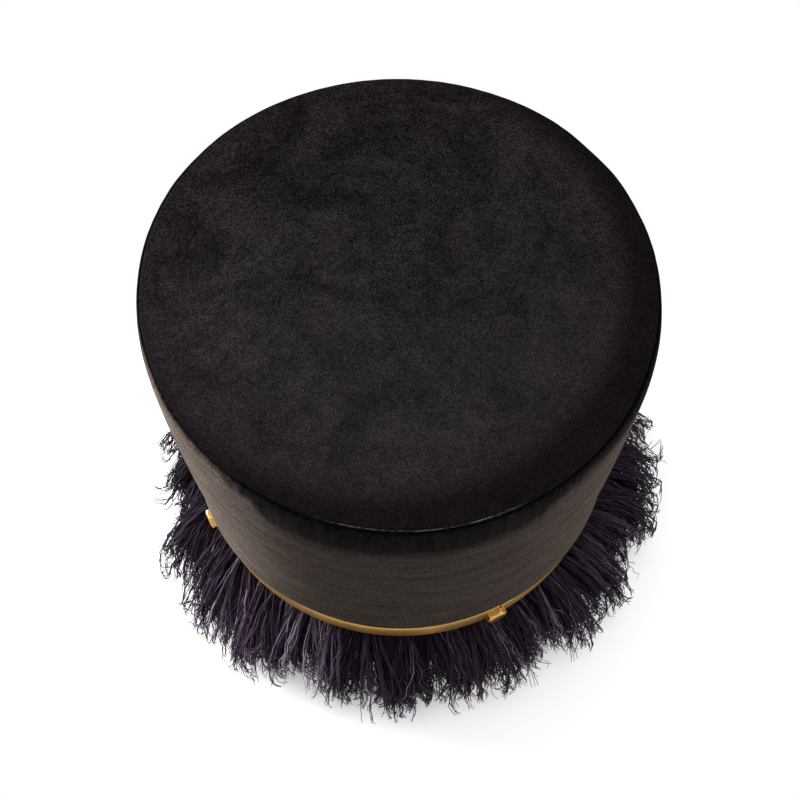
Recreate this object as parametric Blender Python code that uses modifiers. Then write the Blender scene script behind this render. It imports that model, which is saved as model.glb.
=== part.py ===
"""A round velvet pouf on a fibreboard drum, with a bolted brass band and a feather fringe.

Metres, +Z up, the front towards -Y. The origin lies on the floor under the middle of the drum.
Every turned piece has the same facets, lined up, so that rings lie against each other all round.
"""

import math
import random

import bmesh
import bpy
import numpy as np
from mathutils import Matrix, Vector

# Drum: boards, wall and uprights
DRUM_RADIUS = 0.1882
DRUM_WALL = 0.006
DRUM_HEIGHT = 0.339
BASE_BOARD = 0.012
SEAT_BOARD = 0.015
UPRIGHT_WIDTH = 0.045
UPRIGHT_DEPTH = 0.022

# Upholstery: foam, and the velvet cover in two panels
SEAT_FOAM = 0.040
SIDE_FOAM = 0.008
SIDE_BULGE = 0.0068
CROWN_RISE = 0.012
COVER_THICKNESS = 0.0014
SEAM_OUTSET = 0.0018
SEAM_ALLOWANCE = 0.008

# Brass band round the foot of the cover
BAND_HEIGHT = 0.0245
BAND_THICKNESS = 0.0015
BAND_EDGE = 0.0004
BAND_JOINT = 0.0008
BAND_ABOVE_FLOOR = 0.1065

# Hexagon bolts through the band and the wall
STUD_FLATS = 0.019
STUD_HEAD = 0.0075
STUD_CHAMFER = 0.0009
STUD_SHANK_RADIUS = 0.006
STUD_TAIL = 0.002
NUT_FLATS = 0.019
NUT_HEIGHT = 0.010
WASHER_RADIUS = 0.0115
WASHER_THICKNESS = 0.0025

# Feather fringe: a heading tape round the wall, with strands in three rows
TAPE_THICKNESS = 0.004
TAPE_HEIGHT = 0.026
STRAND_RADIUS = 0.0019
FRINGE_REACH = 0.070
FRINGE_TIP_HEIGHT = 0.005
TIP_HEIGHT_SPREAD = 0.006

# Countersunk screws that hold the boards to the uprights
SCREW_LENGTH = 0.040
SCREW_RADIUS = 0.002
SCREW_HEAD_RADIUS = 0.004
SCREW_HEAD_DEPTH = 0.0026
SCREW_TIP = 0.005

# Nailed glides and the dust cloth under the drum
GLIDE_RADIUS = 0.012
GLIDE_HEIGHT = 0.004
GLIDE_EDGE = 0.001
GLIDE_NAIL_RADIUS = 0.0015
GLIDE_NAIL_COVER = 0.001
GLIDE_INSET = 0.0452
DUST_CLOTH = 0.0005
DUST_CLOTH_MARGIN = 0.006

# Fits
CLEARANCE = 0.0003
OVERRUN = 0.002
MERGE_DISTANCE = 1e-6

# Counts and angles
RING_STEPS = 48
SMALL_STEPS = 12
SCREW_STEPS = 8
CROWN_STEPS = 6
STUD_COUNT = 4
UPRIGHT_COUNT = 4
SLICE_COUNT = 12
SLICE_PATTERNS = 3
STRANDS_PER_ROW = (9, 9, 7)
STRAND_SEGMENTS = (4, 3, 2)
STRAND_SIDES = 3
FRINGE_SEED = 11
STUD_ANGLE = math.radians(25.2)
STUD_TURN = math.radians(10)
UPRIGHT_ANGLE = STUD_ANGLE + math.pi / UPRIGHT_COUNT
FACET_ANGLE = math.tau / RING_STEPS
RING_TURN = STUD_ANGLE - FACET_ANGLE / 2

# Height of the studs up the band
STUD_HEIGHT_SHARE = 0.45
# Shares of the way from the seam down to the band, and how full the side is there
SIDE_DEPTH_SHARES = (0.03, 0.08, 0.30, 0.65, 1.0)
SIDE_FULLNESS_SHARES = (0.75, 1.0, 0.98, 0.66, 0.0)
# Per row of strands: root below the tape's top, reach, spread of the reach
ROOT_DEPTH_SHARES = (0.14, 0.46, 0.80)
REACH_SHARES = (0.94, 0.67, 0.38)
REACH_SPREAD_SHARE = 0.05
# How fast a strand runs out and falls, its sway within its lane, and its taper
STRAND_OUT_POWER = 0.8
STRAND_FALL_POWER = 1.5
SWAY_LANE_SHARE = 0.28
STRAND_TIP_SHARE = 0.3

# Heights, up from the floor
cloth_bottom = GLIDE_HEIGHT + CLEARANCE
cloth_top = cloth_bottom + DUST_CLOTH
base_bottom = cloth_top + CLEARANCE
base_top = base_bottom + BASE_BOARD
wall_bottom = base_top + CLEARANCE
wall_top = wall_bottom + DRUM_HEIGHT
seat_bottom = wall_top + CLEARANCE
seat_top = seat_bottom + SEAT_BOARD
foam_bottom = seat_top + CLEARANCE
seam_height = foam_bottom + SEAT_FOAM
band_bottom = BAND_ABOVE_FLOOR
band_top = band_bottom + BAND_HEIGHT
stud_height = band_bottom + BAND_HEIGHT * STUD_HEIGHT_SHARE
nail_top = base_top - GLIDE_NAIL_COVER
tape_top = band_bottom - CLEARANCE

# Radii, out from the drum's wall, measured at a facet's corners
wall_inner = DRUM_RADIUS - DRUM_WALL
side_foam_inner = DRUM_RADIUS + CLEARANCE
cover_inner = side_foam_inner + SIDE_FOAM + CLEARANCE
cover_outer = cover_inner + COVER_THICKNESS
band_inner = cover_outer + CLEARANCE
band_outer = band_inner + BAND_THICKNESS
seam_radius = cover_outer + SEAM_OUTSET
seat_foam_radius = seam_radius - SEAM_ALLOWANCE - CLEARANCE
tape_inner = DRUM_RADIUS + CLEARANCE
tape_outer = tape_inner + TAPE_THICKNESS
glide_circle = DRUM_RADIUS - GLIDE_INSET

# The band's two ends meet beside the front stud
stud_corner = STUD_FLATS / math.sqrt(3)
band_joint_angle = STUD_ANGLE - math.pi / 2 + (stud_corner + BAND_JOINT) / band_outer


def flat_of(radius):
    """The distance from the axis to the middle of a facet of a ring with this corner radius."""
    return radius * math.cos(FACET_ANGLE / 2)


def side_line():
    """The cover's outer line from the seam to the band, as heights and radii."""
    drop = seam_height - band_top
    heights = [seam_height] + [seam_height - drop * share for share in SIDE_DEPTH_SHARES]
    radii = [seam_radius] + [cover_outer + SIDE_BULGE * share for share in SIDE_FULLNESS_SHARES]
    return heights, radii


def side_radius(height):
    heights, radii = side_line()
    return float(np.interp(height, heights[::-1], radii[::-1]))


def start_collection(name, parent=None):
    made = bpy.data.collections.new(name)
    (parent or bpy.context.scene.collection).children.link(made)
    return made


def clear_scene():
    for thing in list(bpy.data.objects):
        bpy.data.objects.remove(thing, do_unlink=True)


def material(name, colour, roughness, metallic=0.0):
    made = bpy.data.materials.new(name)
    made.use_nodes = True
    shader = made.node_tree.nodes["Principled BSDF"]
    shader.inputs["Base Color"].default_value = (*colour, 1.0)
    shader.inputs["Roughness"].default_value = roughness
    shader.inputs["Metallic"].default_value = metallic
    return made


def add_object(name, mesh, finish, collection):
    made = bpy.data.objects.new(name, mesh)
    if finish is not None and not mesh.materials:
        mesh.materials.append(finish)
    collection.objects.link(made)
    return made


def mesh_from(bm, name):
    mesh = bpy.data.meshes.new(name)
    bm.to_mesh(mesh)
    bm.free()
    return mesh


def turned(name, profile, finish, collection, steps=RING_STEPS, loop=True):
    """A profile of (radius, height) points, turned about Z. It runs down its outer side."""
    bm = bmesh.new()
    points = [bm.verts.new((radius, 0.0, height)) for radius, height in profile]
    ends = list(zip(points, points[1:]))
    if loop:
        ends.append((points[-1], points[0]))
    for pair in ends:
        bm.edges.new(pair)
    made = add_object(name, mesh_from(bm, name), finish, collection)
    screw = made.modifiers.new("Turn", "SCREW")
    screw.steps = steps
    screw.render_steps = steps
    screw.use_merge_vertices = True
    screw.merge_threshold = MERGE_DISTANCE
    return made


def ring(name, profile, finish, collection, loop=True):
    """A turned piece of the drum, its facets lined up with all the others."""
    made = turned(name, profile, finish, collection, loop=loop)
    made.rotation_euler.z = RING_TURN
    return made


def as_guide(made):
    made.hide_render = True
    made.display_type = "WIRE"
    return made


def cut(piece, cutters):
    """Takes every cutter of a collection away from a piece."""
    boolean = piece.modifiers.new("Cut " + cutters.name, "BOOLEAN")
    boolean.operation = "DIFFERENCE"
    boolean.operand_type = "COLLECTION"
    boolean.collection = cutters
    boolean.solver = "EXACT"


def stand_out(made, angle, radius, height, turn=0.0):
    """Lays a piece's own Z along the radius at this angle, at this distance and height."""
    made.matrix_world = (
        Matrix.Rotation(angle, 4, "Z")
        @ Matrix.Translation((radius, 0.0, height))
        @ Matrix.Rotation(math.pi / 2, 4, "Y")
        @ Matrix.Rotation(turn, 4, "Z")
    )


def hexagon_mesh(name, flats, height, bore=0.0, chamfer=0.0):
    """A hexagon prism from zero up, with its upper edges chamfered."""
    bm = bmesh.new()
    corner = flats / math.sqrt(3)
    bmesh.ops.create_cone(
        bm, cap_ends=True, segments=6, radius1=corner, radius2=corner, depth=height
    )
    bmesh.ops.translate(bm, verts=bm.verts, vec=(0.0, 0.0, height / 2))
    if chamfer:
        top = [edge for edge in bm.edges if all(v.co.z > height / 2 for v in edge.verts)]
        bmesh.ops.bevel(bm, geom=top, offset=chamfer, segments=1, affect="EDGES")
    return mesh_from(bm, name)


def make_boards(parts, bores, finishes):
    base = ring(
        "base_board",
        [(0.0, base_top), (DRUM_RADIUS, base_top), (DRUM_RADIUS, base_bottom), (0.0, base_bottom)],
        finishes["plywood"],
        parts,
        loop=False,
    )
    seat = ring(
        "seat_board",
        [(0.0, seat_top), (DRUM_RADIUS, seat_top), (DRUM_RADIUS, seat_bottom), (0.0, seat_bottom)],
        finishes["plywood"],
        parts,
        loop=False,
    )
    cut(base, bores["base_screws"])
    cut(base, bores["nails"])
    cut(seat, bores["seat_screws"])


def make_wall(parts, bores, finishes):
    wall = ring(
        "drum_wall",
        [
            (DRUM_RADIUS, wall_top),
            (DRUM_RADIUS, wall_bottom),
            (wall_inner, wall_bottom),
            (wall_inner, wall_top),
        ],
        finishes["fibreboard"],
        parts,
    )
    cut(wall, bores["studs"])


def upright_centre():
    """How far from the axis an upright's middle lies, with its outer corners near the wall."""
    half_facets = flat_of(wall_inner) - CLEARANCE
    corner = math.sqrt(half_facets**2 - (UPRIGHT_WIDTH / 2) ** 2)
    return corner - UPRIGHT_DEPTH / 2


def make_uprights(parts, bores, finishes):
    bm = bmesh.new()
    bmesh.ops.create_cube(bm, size=1.0)
    bmesh.ops.scale(bm, verts=bm.verts, vec=(UPRIGHT_DEPTH, UPRIGHT_WIDTH, DRUM_HEIGHT))
    mesh = mesh_from(bm, "upright")
    for index in range(UPRIGHT_COUNT):
        angle = UPRIGHT_ANGLE + math.tau * index / UPRIGHT_COUNT
        made = add_object(f"upright_{index + 1}", mesh, finishes["softwood"], parts)
        made.matrix_world = Matrix.Rotation(angle, 4, "Z") @ Matrix.Translation(
            (upright_centre(), 0.0, (wall_bottom + wall_top) / 2)
        )
        cut(made, bores["seat_screws"])
        cut(made, bores["base_screws"])


def screw_profile(clearance=0.0, overrun=0.0):
    """A countersunk screw pointing down, its head's face at zero, or the hole that clears it."""
    top = [(0.0, overrun), (SCREW_HEAD_RADIUS + clearance, overrun)]
    if overrun:
        top.append((SCREW_HEAD_RADIUS + clearance, 0.0))
    return top + [
        (SCREW_RADIUS + clearance, -SCREW_HEAD_DEPTH),
        (SCREW_RADIUS + clearance, -SCREW_LENGTH + SCREW_TIP),
        (0.0, -SCREW_LENGTH - clearance),
    ]


def place_screw(made, index, upper):
    angle = UPRIGHT_ANGLE + math.tau * index / UPRIGHT_COUNT
    height = seat_top if upper else base_bottom
    flip = 0.0 if upper else math.pi
    made.matrix_world = (
        Matrix.Rotation(angle, 4, "Z")
        @ Matrix.Translation((upright_centre(), 0.0, height))
        @ Matrix.Rotation(flip, 4, "X")
    )


def make_screws(parts, bores, finishes):
    for upper, word in ((True, "seat"), (False, "base")):
        for index in range(UPRIGHT_COUNT):
            name = f"{word}_screw_{index + 1}"
            screw = turned(name, screw_profile(), finishes["steel"], parts, SCREW_STEPS, loop=False)
            hole = turned(
                name + "_hole",
                screw_profile(CLEARANCE, OVERRUN),
                None,
                bores[word + "_screws"],
                SCREW_STEPS,
                loop=False,
            )
            place_screw(screw, index, upper)
            place_screw(as_guide(hole), index, upper)


def crown_line(offset=0.0):
    """The crown from the middle out to the seam, moved in square to itself by an offset."""
    angles = [math.pi / 2 * step / CROWN_STEPS for step in range(CROWN_STEPS + 1)]
    line = [
        Vector((seam_radius * math.sin(a), seam_height + CROWN_RISE * math.cos(a))) for a in angles
    ]
    inward = []
    for start, end in zip(line, line[1:]):
        run = (end - start).normalized()
        inward.append(Vector((run.y, -run.x)))
    # The crown goes on beyond the axis as its own mirror image.
    before = [Vector((-inward[0].x, inward[0].y))] + inward
    after = inward + inward[-1:]
    moved = []
    for point, first, second in zip(line, before, after):
        moved.append(point + (first + second) * offset / (1.0 + first.dot(second)))
    return np.array(moved)


def line_to(line, radius):
    """The part of an outward line that ends at this radius."""
    kept = [tuple(point) for point in line if point[0] < radius - MERGE_DISTANCE]
    return kept + [(radius, float(np.interp(radius, line[:, 0], line[:, 1])))]


def make_cover(parts, bores, finishes):
    lift = np.array((0.0, CLEARANCE / 2))
    allowance = seam_radius - SEAM_ALLOWANCE
    outer = [tuple(point) for point in crown_line() + lift]
    fold = seam_height + CLEARANCE / 2 + COVER_THICKNESS
    inner_line = crown_line(COVER_THICKNESS) + lift
    fold_radius = float(np.interp(fold, inner_line[::-1, 1], inner_line[::-1, 0]))
    inner = line_to(inner_line, fold_radius)
    turn_in = [(allowance, outer[-1][1]), (allowance, fold)]
    ring("cover_top_panel", outer + turn_in + inner[::-1], finishes["velvet"], parts, loop=False)

    heights = side_line()[0][1:]
    top = seam_height - CLEARANCE / 2
    outer = [(seam_radius, top)] + [(side_radius(z), z) for z in heights]
    outer.append((cover_outer, band_bottom))
    under = top - COVER_THICKNESS
    inner = [(side_radius(under) - COVER_THICKNESS, under)]
    inner += [(side_radius(z) - COVER_THICKNESS, z) for z in heights]
    inner.append((cover_inner, band_bottom))
    turn_in = [(allowance, under), (allowance, top)]
    side = ring("cover_side_panel", outer + inner[::-1] + turn_in, finishes["velvet"], parts)
    cut(side, bores["studs"])


def make_foam(parts, bores, finishes):
    offset = COVER_THICKNESS + CLEARANCE
    lift = np.array((0.0, CLEARANCE / 2))
    crown = line_to(crown_line(offset) + lift, seat_foam_radius)
    rim = [(seat_foam_radius, foam_bottom), (0.0, foam_bottom)]
    ring("seat_foam", crown + rim, finishes["foam"], parts, loop=False)

    top = seam_height - CLEARANCE / 2 - COVER_THICKNESS - CLEARANCE
    heights = [top] + side_line()[0][1:]
    outer = [(side_radius(z) - offset, z) for z in heights]
    outer.append((cover_inner - CLEARANCE, band_bottom))
    upper_inner = seat_foam_radius + CLEARANCE
    inner = [
        (side_foam_inner, band_bottom),
        (side_foam_inner, foam_bottom - CLEARANCE),
        (upper_inner, foam_bottom - CLEARANCE),
        (upper_inner, top),
    ]
    side = ring("side_foam", outer + inner, finishes["foam"], parts)
    cut(side, bores["studs"])


def make_band(parts, bores, finishes):
    """A flat strip with eased edges, bent round, whose two ends meet beside a stud."""
    edge = BAND_EDGE
    profile = [
        (band_inner, band_top),
        (band_outer - edge, band_top),
        (band_outer, band_top - edge),
        (band_outer, band_bottom + edge),
        (band_outer - edge, band_bottom),
        (band_inner, band_bottom),
    ]
    band = ring("rim_band", profile, finishes["brass"], parts)
    cut(band, bores["studs"])
    bm = bmesh.new()
    bmesh.ops.create_cube(bm, size=1.0)
    size = (BAND_THICKNESS + 2 * OVERRUN, BAND_JOINT, BAND_HEIGHT + 2 * OVERRUN)
    bmesh.ops.scale(bm, verts=bm.verts, vec=size)
    slit = add_object("band_joint", mesh_from(bm, "band_joint"), None, bores["joint"])
    slit.matrix_world = Matrix.Rotation(band_joint_angle, 4, "Z") @ Matrix.Translation(
        ((band_inner + band_outer) / 2, 0.0, (band_top + band_bottom) / 2)
    )
    as_guide(slit)
    cut(band, bores["joint"])


def make_studs(parts, bores, guides, finishes):
    """Bolt heads outside the band, and a washer and nut on each inside the wall."""
    head_seat = flat_of(band_outer) + CLEARANCE
    washer_face = flat_of(wall_inner) - CLEARANCE
    nut_face = washer_face - WASHER_THICKNESS - CLEARANCE
    shank_end = nut_face - NUT_HEIGHT - STUD_TAIL
    shank_length = head_seat - shank_end
    hole = STUD_SHANK_RADIUS + CLEARANCE
    shank_profile = [
        (0.0, STUD_HEAD / 2),
        (STUD_SHANK_RADIUS, STUD_HEAD / 2),
        (STUD_SHANK_RADIUS, -shank_length),
        (0.0, -shank_length),
    ]
    hole_profile = [
        (0.0, OVERRUN),
        (hole, OVERRUN),
        (hole, -shank_length - OVERRUN),
        (0.0, -shank_length - OVERRUN),
    ]
    washer_profile = [
        (WASHER_RADIUS, 0.0),
        (WASHER_RADIUS, -WASHER_THICKNESS),
        (hole, -WASHER_THICKNESS),
        (hole, 0.0),
    ]
    head_mesh = hexagon_mesh("stud_head", STUD_FLATS, STUD_HEAD, chamfer=STUD_CHAMFER)
    nut_mesh = hexagon_mesh("stud_nut", NUT_FLATS, NUT_HEIGHT)
    for index in range(STUD_COUNT):
        angle = STUD_ANGLE + math.tau * index / STUD_COUNT
        number = index + 1
        bolt = add_object(f"stud_bolt_{number}", head_mesh, finishes["brass"], parts)
        stand_out(bolt, angle, head_seat, stud_height, STUD_TURN)
        shank = turned(f"stud_shank_{number}", shank_profile, None, guides, SMALL_STEPS, loop=False)
        stand_out(as_guide(shank), angle, head_seat, stud_height)
        join = bolt.modifiers.new("Shank", "BOOLEAN")
        join.operation = "UNION"
        join.object = shank
        join.solver = "EXACT"
        bore = turned(
            f"stud_bore_{number}", hole_profile, None, bores["studs"], SMALL_STEPS, loop=False
        )
        stand_out(as_guide(bore), angle, head_seat, stud_height)
        washer = turned(
            f"stud_washer_{number}", washer_profile, finishes["steel"], parts, SMALL_STEPS
        )
        stand_out(washer, angle, washer_face, stud_height)
        nut = add_object(f"stud_nut_{number}", nut_mesh, finishes["steel"], parts)
        stand_out(nut, angle, nut_face - NUT_HEIGHT, stud_height, STUD_TURN)
        cut(nut, bores["studs"])


def make_glides(parts, bores, finishes):
    glide_profile = [
        (0.0, nail_top),
        (GLIDE_NAIL_RADIUS, nail_top),
        (GLIDE_NAIL_RADIUS, GLIDE_HEIGHT),
        (GLIDE_RADIUS, GLIDE_HEIGHT),
        (GLIDE_RADIUS, GLIDE_EDGE),
        (GLIDE_RADIUS - GLIDE_EDGE, 0.0),
        (0.0, 0.0),
    ]
    reach = nail_top + CLEARANCE
    hole = GLIDE_NAIL_RADIUS + CLEARANCE
    hole_profile = [(0.0, reach), (hole, reach), (hole, GLIDE_HEIGHT), (0.0, GLIDE_HEIGHT)]
    for index in range(UPRIGHT_COUNT):
        angle = UPRIGHT_ANGLE + math.tau * index / UPRIGHT_COUNT
        place = Matrix.Rotation(angle, 4, "Z") @ Matrix.Translation((glide_circle, 0.0, 0.0))
        name = f"glide_{index + 1}"
        glide = turned(name, glide_profile, finishes["plastic"], parts, SMALL_STEPS, loop=False)
        glide.matrix_world = place
        nail = turned(name + "_hole", hole_profile, None, bores["nails"], SMALL_STEPS, loop=False)
        as_guide(nail).matrix_world = place
    cloth_radius = DRUM_RADIUS - DUST_CLOTH_MARGIN
    cloth = ring(
        "dust_cloth",
        [
            (0.0, cloth_top),
            (cloth_radius, cloth_top),
            (cloth_radius, cloth_bottom),
            (0.0, cloth_bottom),
        ],
        finishes["lining"],
        parts,
        loop=False,
    )
    cut(cloth, bores["nails"])


def strand_section(guides):
    """The strand's section: a small closed polygon that the strands' curve is bevelled with."""
    curve = bpy.data.curves.new("strand_section", "CURVE")
    curve.dimensions = "2D"
    spline = curve.splines.new("POLY")
    spline.points.add(STRAND_SIDES - 1)
    for index, point in enumerate(spline.points):
        angle = math.tau * index / STRAND_SIDES
        point.co = (STRAND_RADIUS * math.cos(angle), STRAND_RADIUS * math.sin(angle), 0.0, 1.0)
    spline.use_cyclic_u = True
    return as_guide(add_object("strand_section", curve, None, guides))


def strand_points(rng, row, lane, slice_angle):
    """One strand of a slice that starts at angle zero, from inside the tape to its tip."""
    lane_width = slice_angle / STRANDS_PER_ROW[row]
    start = lane_width * (lane + 0.5)
    sway = lane_width * rng.uniform(-SWAY_LANE_SHARE, SWAY_LANE_SHARE)
    reach_share = REACH_SHARES[row] + rng.uniform(-REACH_SPREAD_SHARE, REACH_SPREAD_SHARE)
    reach = FRINGE_REACH * reach_share
    root_radius = tape_outer - TAPE_THICKNESS / 2
    root_height = tape_top - TAPE_HEIGHT * ROOT_DEPTH_SHARES[row]
    fall = root_height - FRINGE_TIP_HEIGHT - TIP_HEIGHT_SPREAD * rng.random()
    segments = STRAND_SEGMENTS[row]
    points = []
    for step in range(segments + 1):
        along = step / segments
        radius = root_radius + reach * along**STRAND_OUT_POWER
        height = root_height - fall * along**STRAND_FALL_POWER
        angle = start + sway * along**2
        size = 1.0 + (STRAND_TIP_SHARE - 1.0) * along
        points.append((radius * math.cos(angle), radius * math.sin(angle), height, size))
    return points


def strands_mesh(rng, slice_angle, section, guides):
    """All the strands of one slice as closed tubes, each with its own end inside the tape."""
    curve = bpy.data.curves.new("strands", "CURVE")
    curve.dimensions = "3D"
    curve.bevel_mode = "OBJECT"
    curve.bevel_object = section
    curve.use_fill_caps = True
    curve.twist_mode = "Z_UP"
    for row, count in enumerate(STRANDS_PER_ROW):
        for lane in range(count):
            points = strand_points(rng, row, lane, slice_angle)
            spline = curve.splines.new("POLY")
            spline.points.add(len(points) - 1)
            for point, (x, y, z, size) in zip(spline.points, points):
                point.co = (x, y, z, 1.0)
                point.radius = size
    drawn = add_object("strands", curve, None, guides)
    bpy.context.view_layer.update()
    mesh = bpy.data.meshes.new_from_object(
        drawn.evaluated_get(bpy.context.evaluated_depsgraph_get())
    )
    bpy.data.objects.remove(drawn)
    bm = bmesh.new()
    bm.from_mesh(mesh)
    bmesh.ops.remove_doubles(bm, verts=bm.verts, dist=MERGE_DISTANCE)
    bmesh.ops.recalc_face_normals(bm, faces=bm.faces)
    bm.to_mesh(mesh)
    bm.free()
    return mesh


def tape_mesh(slice_angle, gap_angle):
    """A slice of the heading tape: an arc outline raised to the tape's height."""
    bm = bmesh.new()
    steps = RING_STEPS // SLICE_COUNT
    angles = [slice_angle * step / steps for step in range(steps + 1)]
    angles[0] += gap_angle
    angles[-1] -= gap_angle
    outline = [(tape_outer, a) for a in angles] + [(tape_inner, a) for a in angles[::-1]]
    bottom = tape_top - TAPE_HEIGHT
    corners = [bm.verts.new((r * math.cos(a), r * math.sin(a), bottom)) for r, a in outline]
    face = bm.faces.new(corners)
    raised = bmesh.ops.extrude_face_region(bm, geom=[face], use_keep_orig=True)
    upper = [part for part in raised["geom"] if isinstance(part, bmesh.types.BMVert)]
    bmesh.ops.translate(bm, verts=upper, vec=(0.0, 0.0, TAPE_HEIGHT))
    bmesh.ops.recalc_face_normals(bm, faces=bm.faces)
    return mesh_from(bm, "tape")


def make_fringe(parts, guides, finishes):
    """Slices of feather fringe in a few patterns that repeat round the drum."""
    rng = random.Random(FRINGE_SEED)
    slice_angle = math.tau / SLICE_COUNT
    section = strand_section(guides)
    patterns = []
    for number in range(SLICE_PATTERNS):
        tape = add_object("tape", tape_mesh(slice_angle, CLEARANCE / tape_outer), None, guides)
        bundle = strands_mesh(rng, slice_angle, section, guides)
        strands = add_object("strand_bundle", bundle, None, guides)
        join = tape.modifiers.new("Strands", "BOOLEAN")
        join.operation = "UNION"
        join.object = strands
        join.solver = "EXACT"
        bpy.context.view_layer.update()
        graph = bpy.context.evaluated_depsgraph_get()
        fused = bpy.data.meshes.new_from_object(tape.evaluated_get(graph))
        fused.name = f"fringe_pattern_{number + 1}"
        patterns.append(fused)
        bpy.data.objects.remove(tape)
        bpy.data.objects.remove(strands)
    for index in range(SLICE_COUNT):
        mesh = patterns[index % SLICE_PATTERNS]
        made = add_object(f"fringe_{index + 1:02d}", mesh, finishes["feather"], parts)
        made.rotation_euler.z = RING_TURN + slice_angle * index


def main():
    clear_scene()
    parts = start_collection("pouf")
    guides = start_collection("cutters")
    bores = {
        name: start_collection(name, guides)
        for name in ("studs", "seat_screws", "base_screws", "nails", "joint")
    }
    finishes = {
        "velvet": material("velvet", (0.020, 0.018, 0.017), 0.85),
        "foam": material("foam", (0.80, 0.76, 0.62), 0.9),
        "plywood": material("plywood", (0.62, 0.45, 0.28), 0.6),
        "fibreboard": material("fibreboard", (0.05, 0.045, 0.04), 0.8),
        "softwood": material("softwood", (0.68, 0.52, 0.34), 0.65),
        "brass": material("brass", (0.62, 0.42, 0.17), 0.3, 1.0),
        "steel": material("steel", (0.55, 0.56, 0.57), 0.4, 1.0),
        "feather": material("feather", (0.035, 0.027, 0.045), 0.6),
        "lining": material("lining", (0.03, 0.03, 0.03), 0.9),
        "plastic": material("plastic", (0.02, 0.02, 0.02), 0.5),
    }
    make_screws(parts, bores, finishes)
    make_boards(parts, bores, finishes)
    make_wall(parts, bores, finishes)
    make_uprights(parts, bores, finishes)
    make_cover(parts, bores, finishes)
    make_foam(parts, bores, finishes)
    make_band(parts, bores, finishes)
    make_studs(parts, bores, guides, finishes)
    make_glides(parts, bores, finishes)
    make_fringe(parts, guides, finishes)


main()
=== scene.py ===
"""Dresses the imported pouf: velvet cover, brass band and bolts, feather fringe, underside and studio."""

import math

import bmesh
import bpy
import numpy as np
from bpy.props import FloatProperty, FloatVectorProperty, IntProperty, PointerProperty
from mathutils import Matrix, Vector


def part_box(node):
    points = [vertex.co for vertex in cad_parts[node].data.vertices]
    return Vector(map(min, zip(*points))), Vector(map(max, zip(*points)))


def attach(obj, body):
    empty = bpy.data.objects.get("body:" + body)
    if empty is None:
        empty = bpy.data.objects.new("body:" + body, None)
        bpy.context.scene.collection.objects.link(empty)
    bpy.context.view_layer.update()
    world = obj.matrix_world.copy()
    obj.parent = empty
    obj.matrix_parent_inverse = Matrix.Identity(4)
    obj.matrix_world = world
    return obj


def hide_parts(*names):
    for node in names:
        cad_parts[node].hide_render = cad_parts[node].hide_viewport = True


bl_info = {
    "name": "Feathered Velvet Pouf",
    "version": (1, 0, 0),
    "blender": (4, 5, 0),
    "location": "View3D > Sidebar > Pouf",
    "description": "Builds the cover, brass trim, feather fringe and studio of a round pouf",
    "category": "Add Mesh",
}

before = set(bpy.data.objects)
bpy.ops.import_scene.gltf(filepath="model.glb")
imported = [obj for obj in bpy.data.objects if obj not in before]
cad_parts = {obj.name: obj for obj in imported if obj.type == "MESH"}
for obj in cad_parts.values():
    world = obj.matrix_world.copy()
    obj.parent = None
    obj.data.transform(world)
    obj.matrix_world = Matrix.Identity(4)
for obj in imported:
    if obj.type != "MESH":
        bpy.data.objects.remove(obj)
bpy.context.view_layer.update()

BODY = "root"
MILLIMETRE = 0.001
UP = np.array([0.0, 0.0, 1.0])
DISC_RINGS = 36
AROUND = 8 * DISC_RINGS
BAND_STEPS = 480
STUD_STEPS = 120
TAPE_STEPS = 240
CLOTH_RINGS = 24
SEEDS = {"gathers": 5, "seat": 8, "side": 21, "dip": 31, "lean": 32, "tone": 33, "length": 34, "fringe": 100}

# Hand-made unevenness of the rim: depth, waves round it, and where it peaks, in degrees
RIM_UNEVEN = ((0.75 * MILLIMETRE, 1, 178), (1.5 * MILLIMETRE, 2, -37), (1.15 * MILLIMETRE, 3, 35))
# The small flat in the rim: where it is, how wide, and how far it reaches down the side
DENT_TOWARDS = math.radians(37)
DENT_WIDTH = math.radians(9)
DENT_REACH = 0.05
# The side swells most over the band between its front and its flanks
SWELL_PEAK = math.radians(-136)
# Steps down the side's shoulder, from the fold at the seam to where the side is fullest
SHOULDER_STEPS = (0.03, 0.08, 0.15, 0.24, 0.35, 0.48, 0.64, 0.82)
SIDE_ROWS = 70
# How far down the side its unevenness, slack and gathers fade, and how far up the band holds it in
RIM_FADE = 0.03
SLACK_FADE = 0.12
GATHER_FADE = 0.010
BAND_HOLD = 0.06
# How the cover's cloth behaves while it settles over its padding
CLOTH = {
    "quality": 6,
    "mass": 0.3,
    "tension_stiffness": 25.0,
    "compression_stiffness": 25.0,
    "bending_stiffness": 0.6,
}
SETTLE_FRAMES = 20

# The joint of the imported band: its gap, the bolt it lies beside, from the front, and how near to it
JOINT_GAP = 0.8 * MILLIMETRE
JOINT_BOLT = math.radians(25)
JOINT_WITHIN = math.radians(9)
# How far along the band its sprung end comes back in, and comes back up
SPRING_REACH = 0.012
DROP_REACH = 0.006
# The woven tape that the barbs are sewn into: its height, its thickness and its ribs
TAPE_HEIGHT = 26 * MILLIMETRE
TAPE_THICKNESS = 4 * MILLIMETRE
TAPE_RIB = 0.25 * MILLIMETRE
# How far round itself a glide holds the dust cloth up
GLIDE_HOLD = 0.03

# Where the velvet's colour changes: towards the dark rim of crushed pile and painted shade, and how far over;
# the front of the seam, with its painted highlight and painted shade; and each flank, painted lighter
CRUSHED_AND_SHADED_TOWARDS = math.radians(-42)
CRUSHED_AND_SHADED_SHIFT = 19 * MILLIMETRE
SEAM_FRONT = math.radians(-89)
RIGHT_FLANK = math.radians(-15)
LEFT_FLANK = math.radians(-165)

# The fringe: its slices, the tufts in each, and how far out its longest barbs are held in, and by how much
SLICES = 12
TUFTS = 6
FULL_REACH = 0.270
FURTHER_SHARE = 0.25
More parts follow.
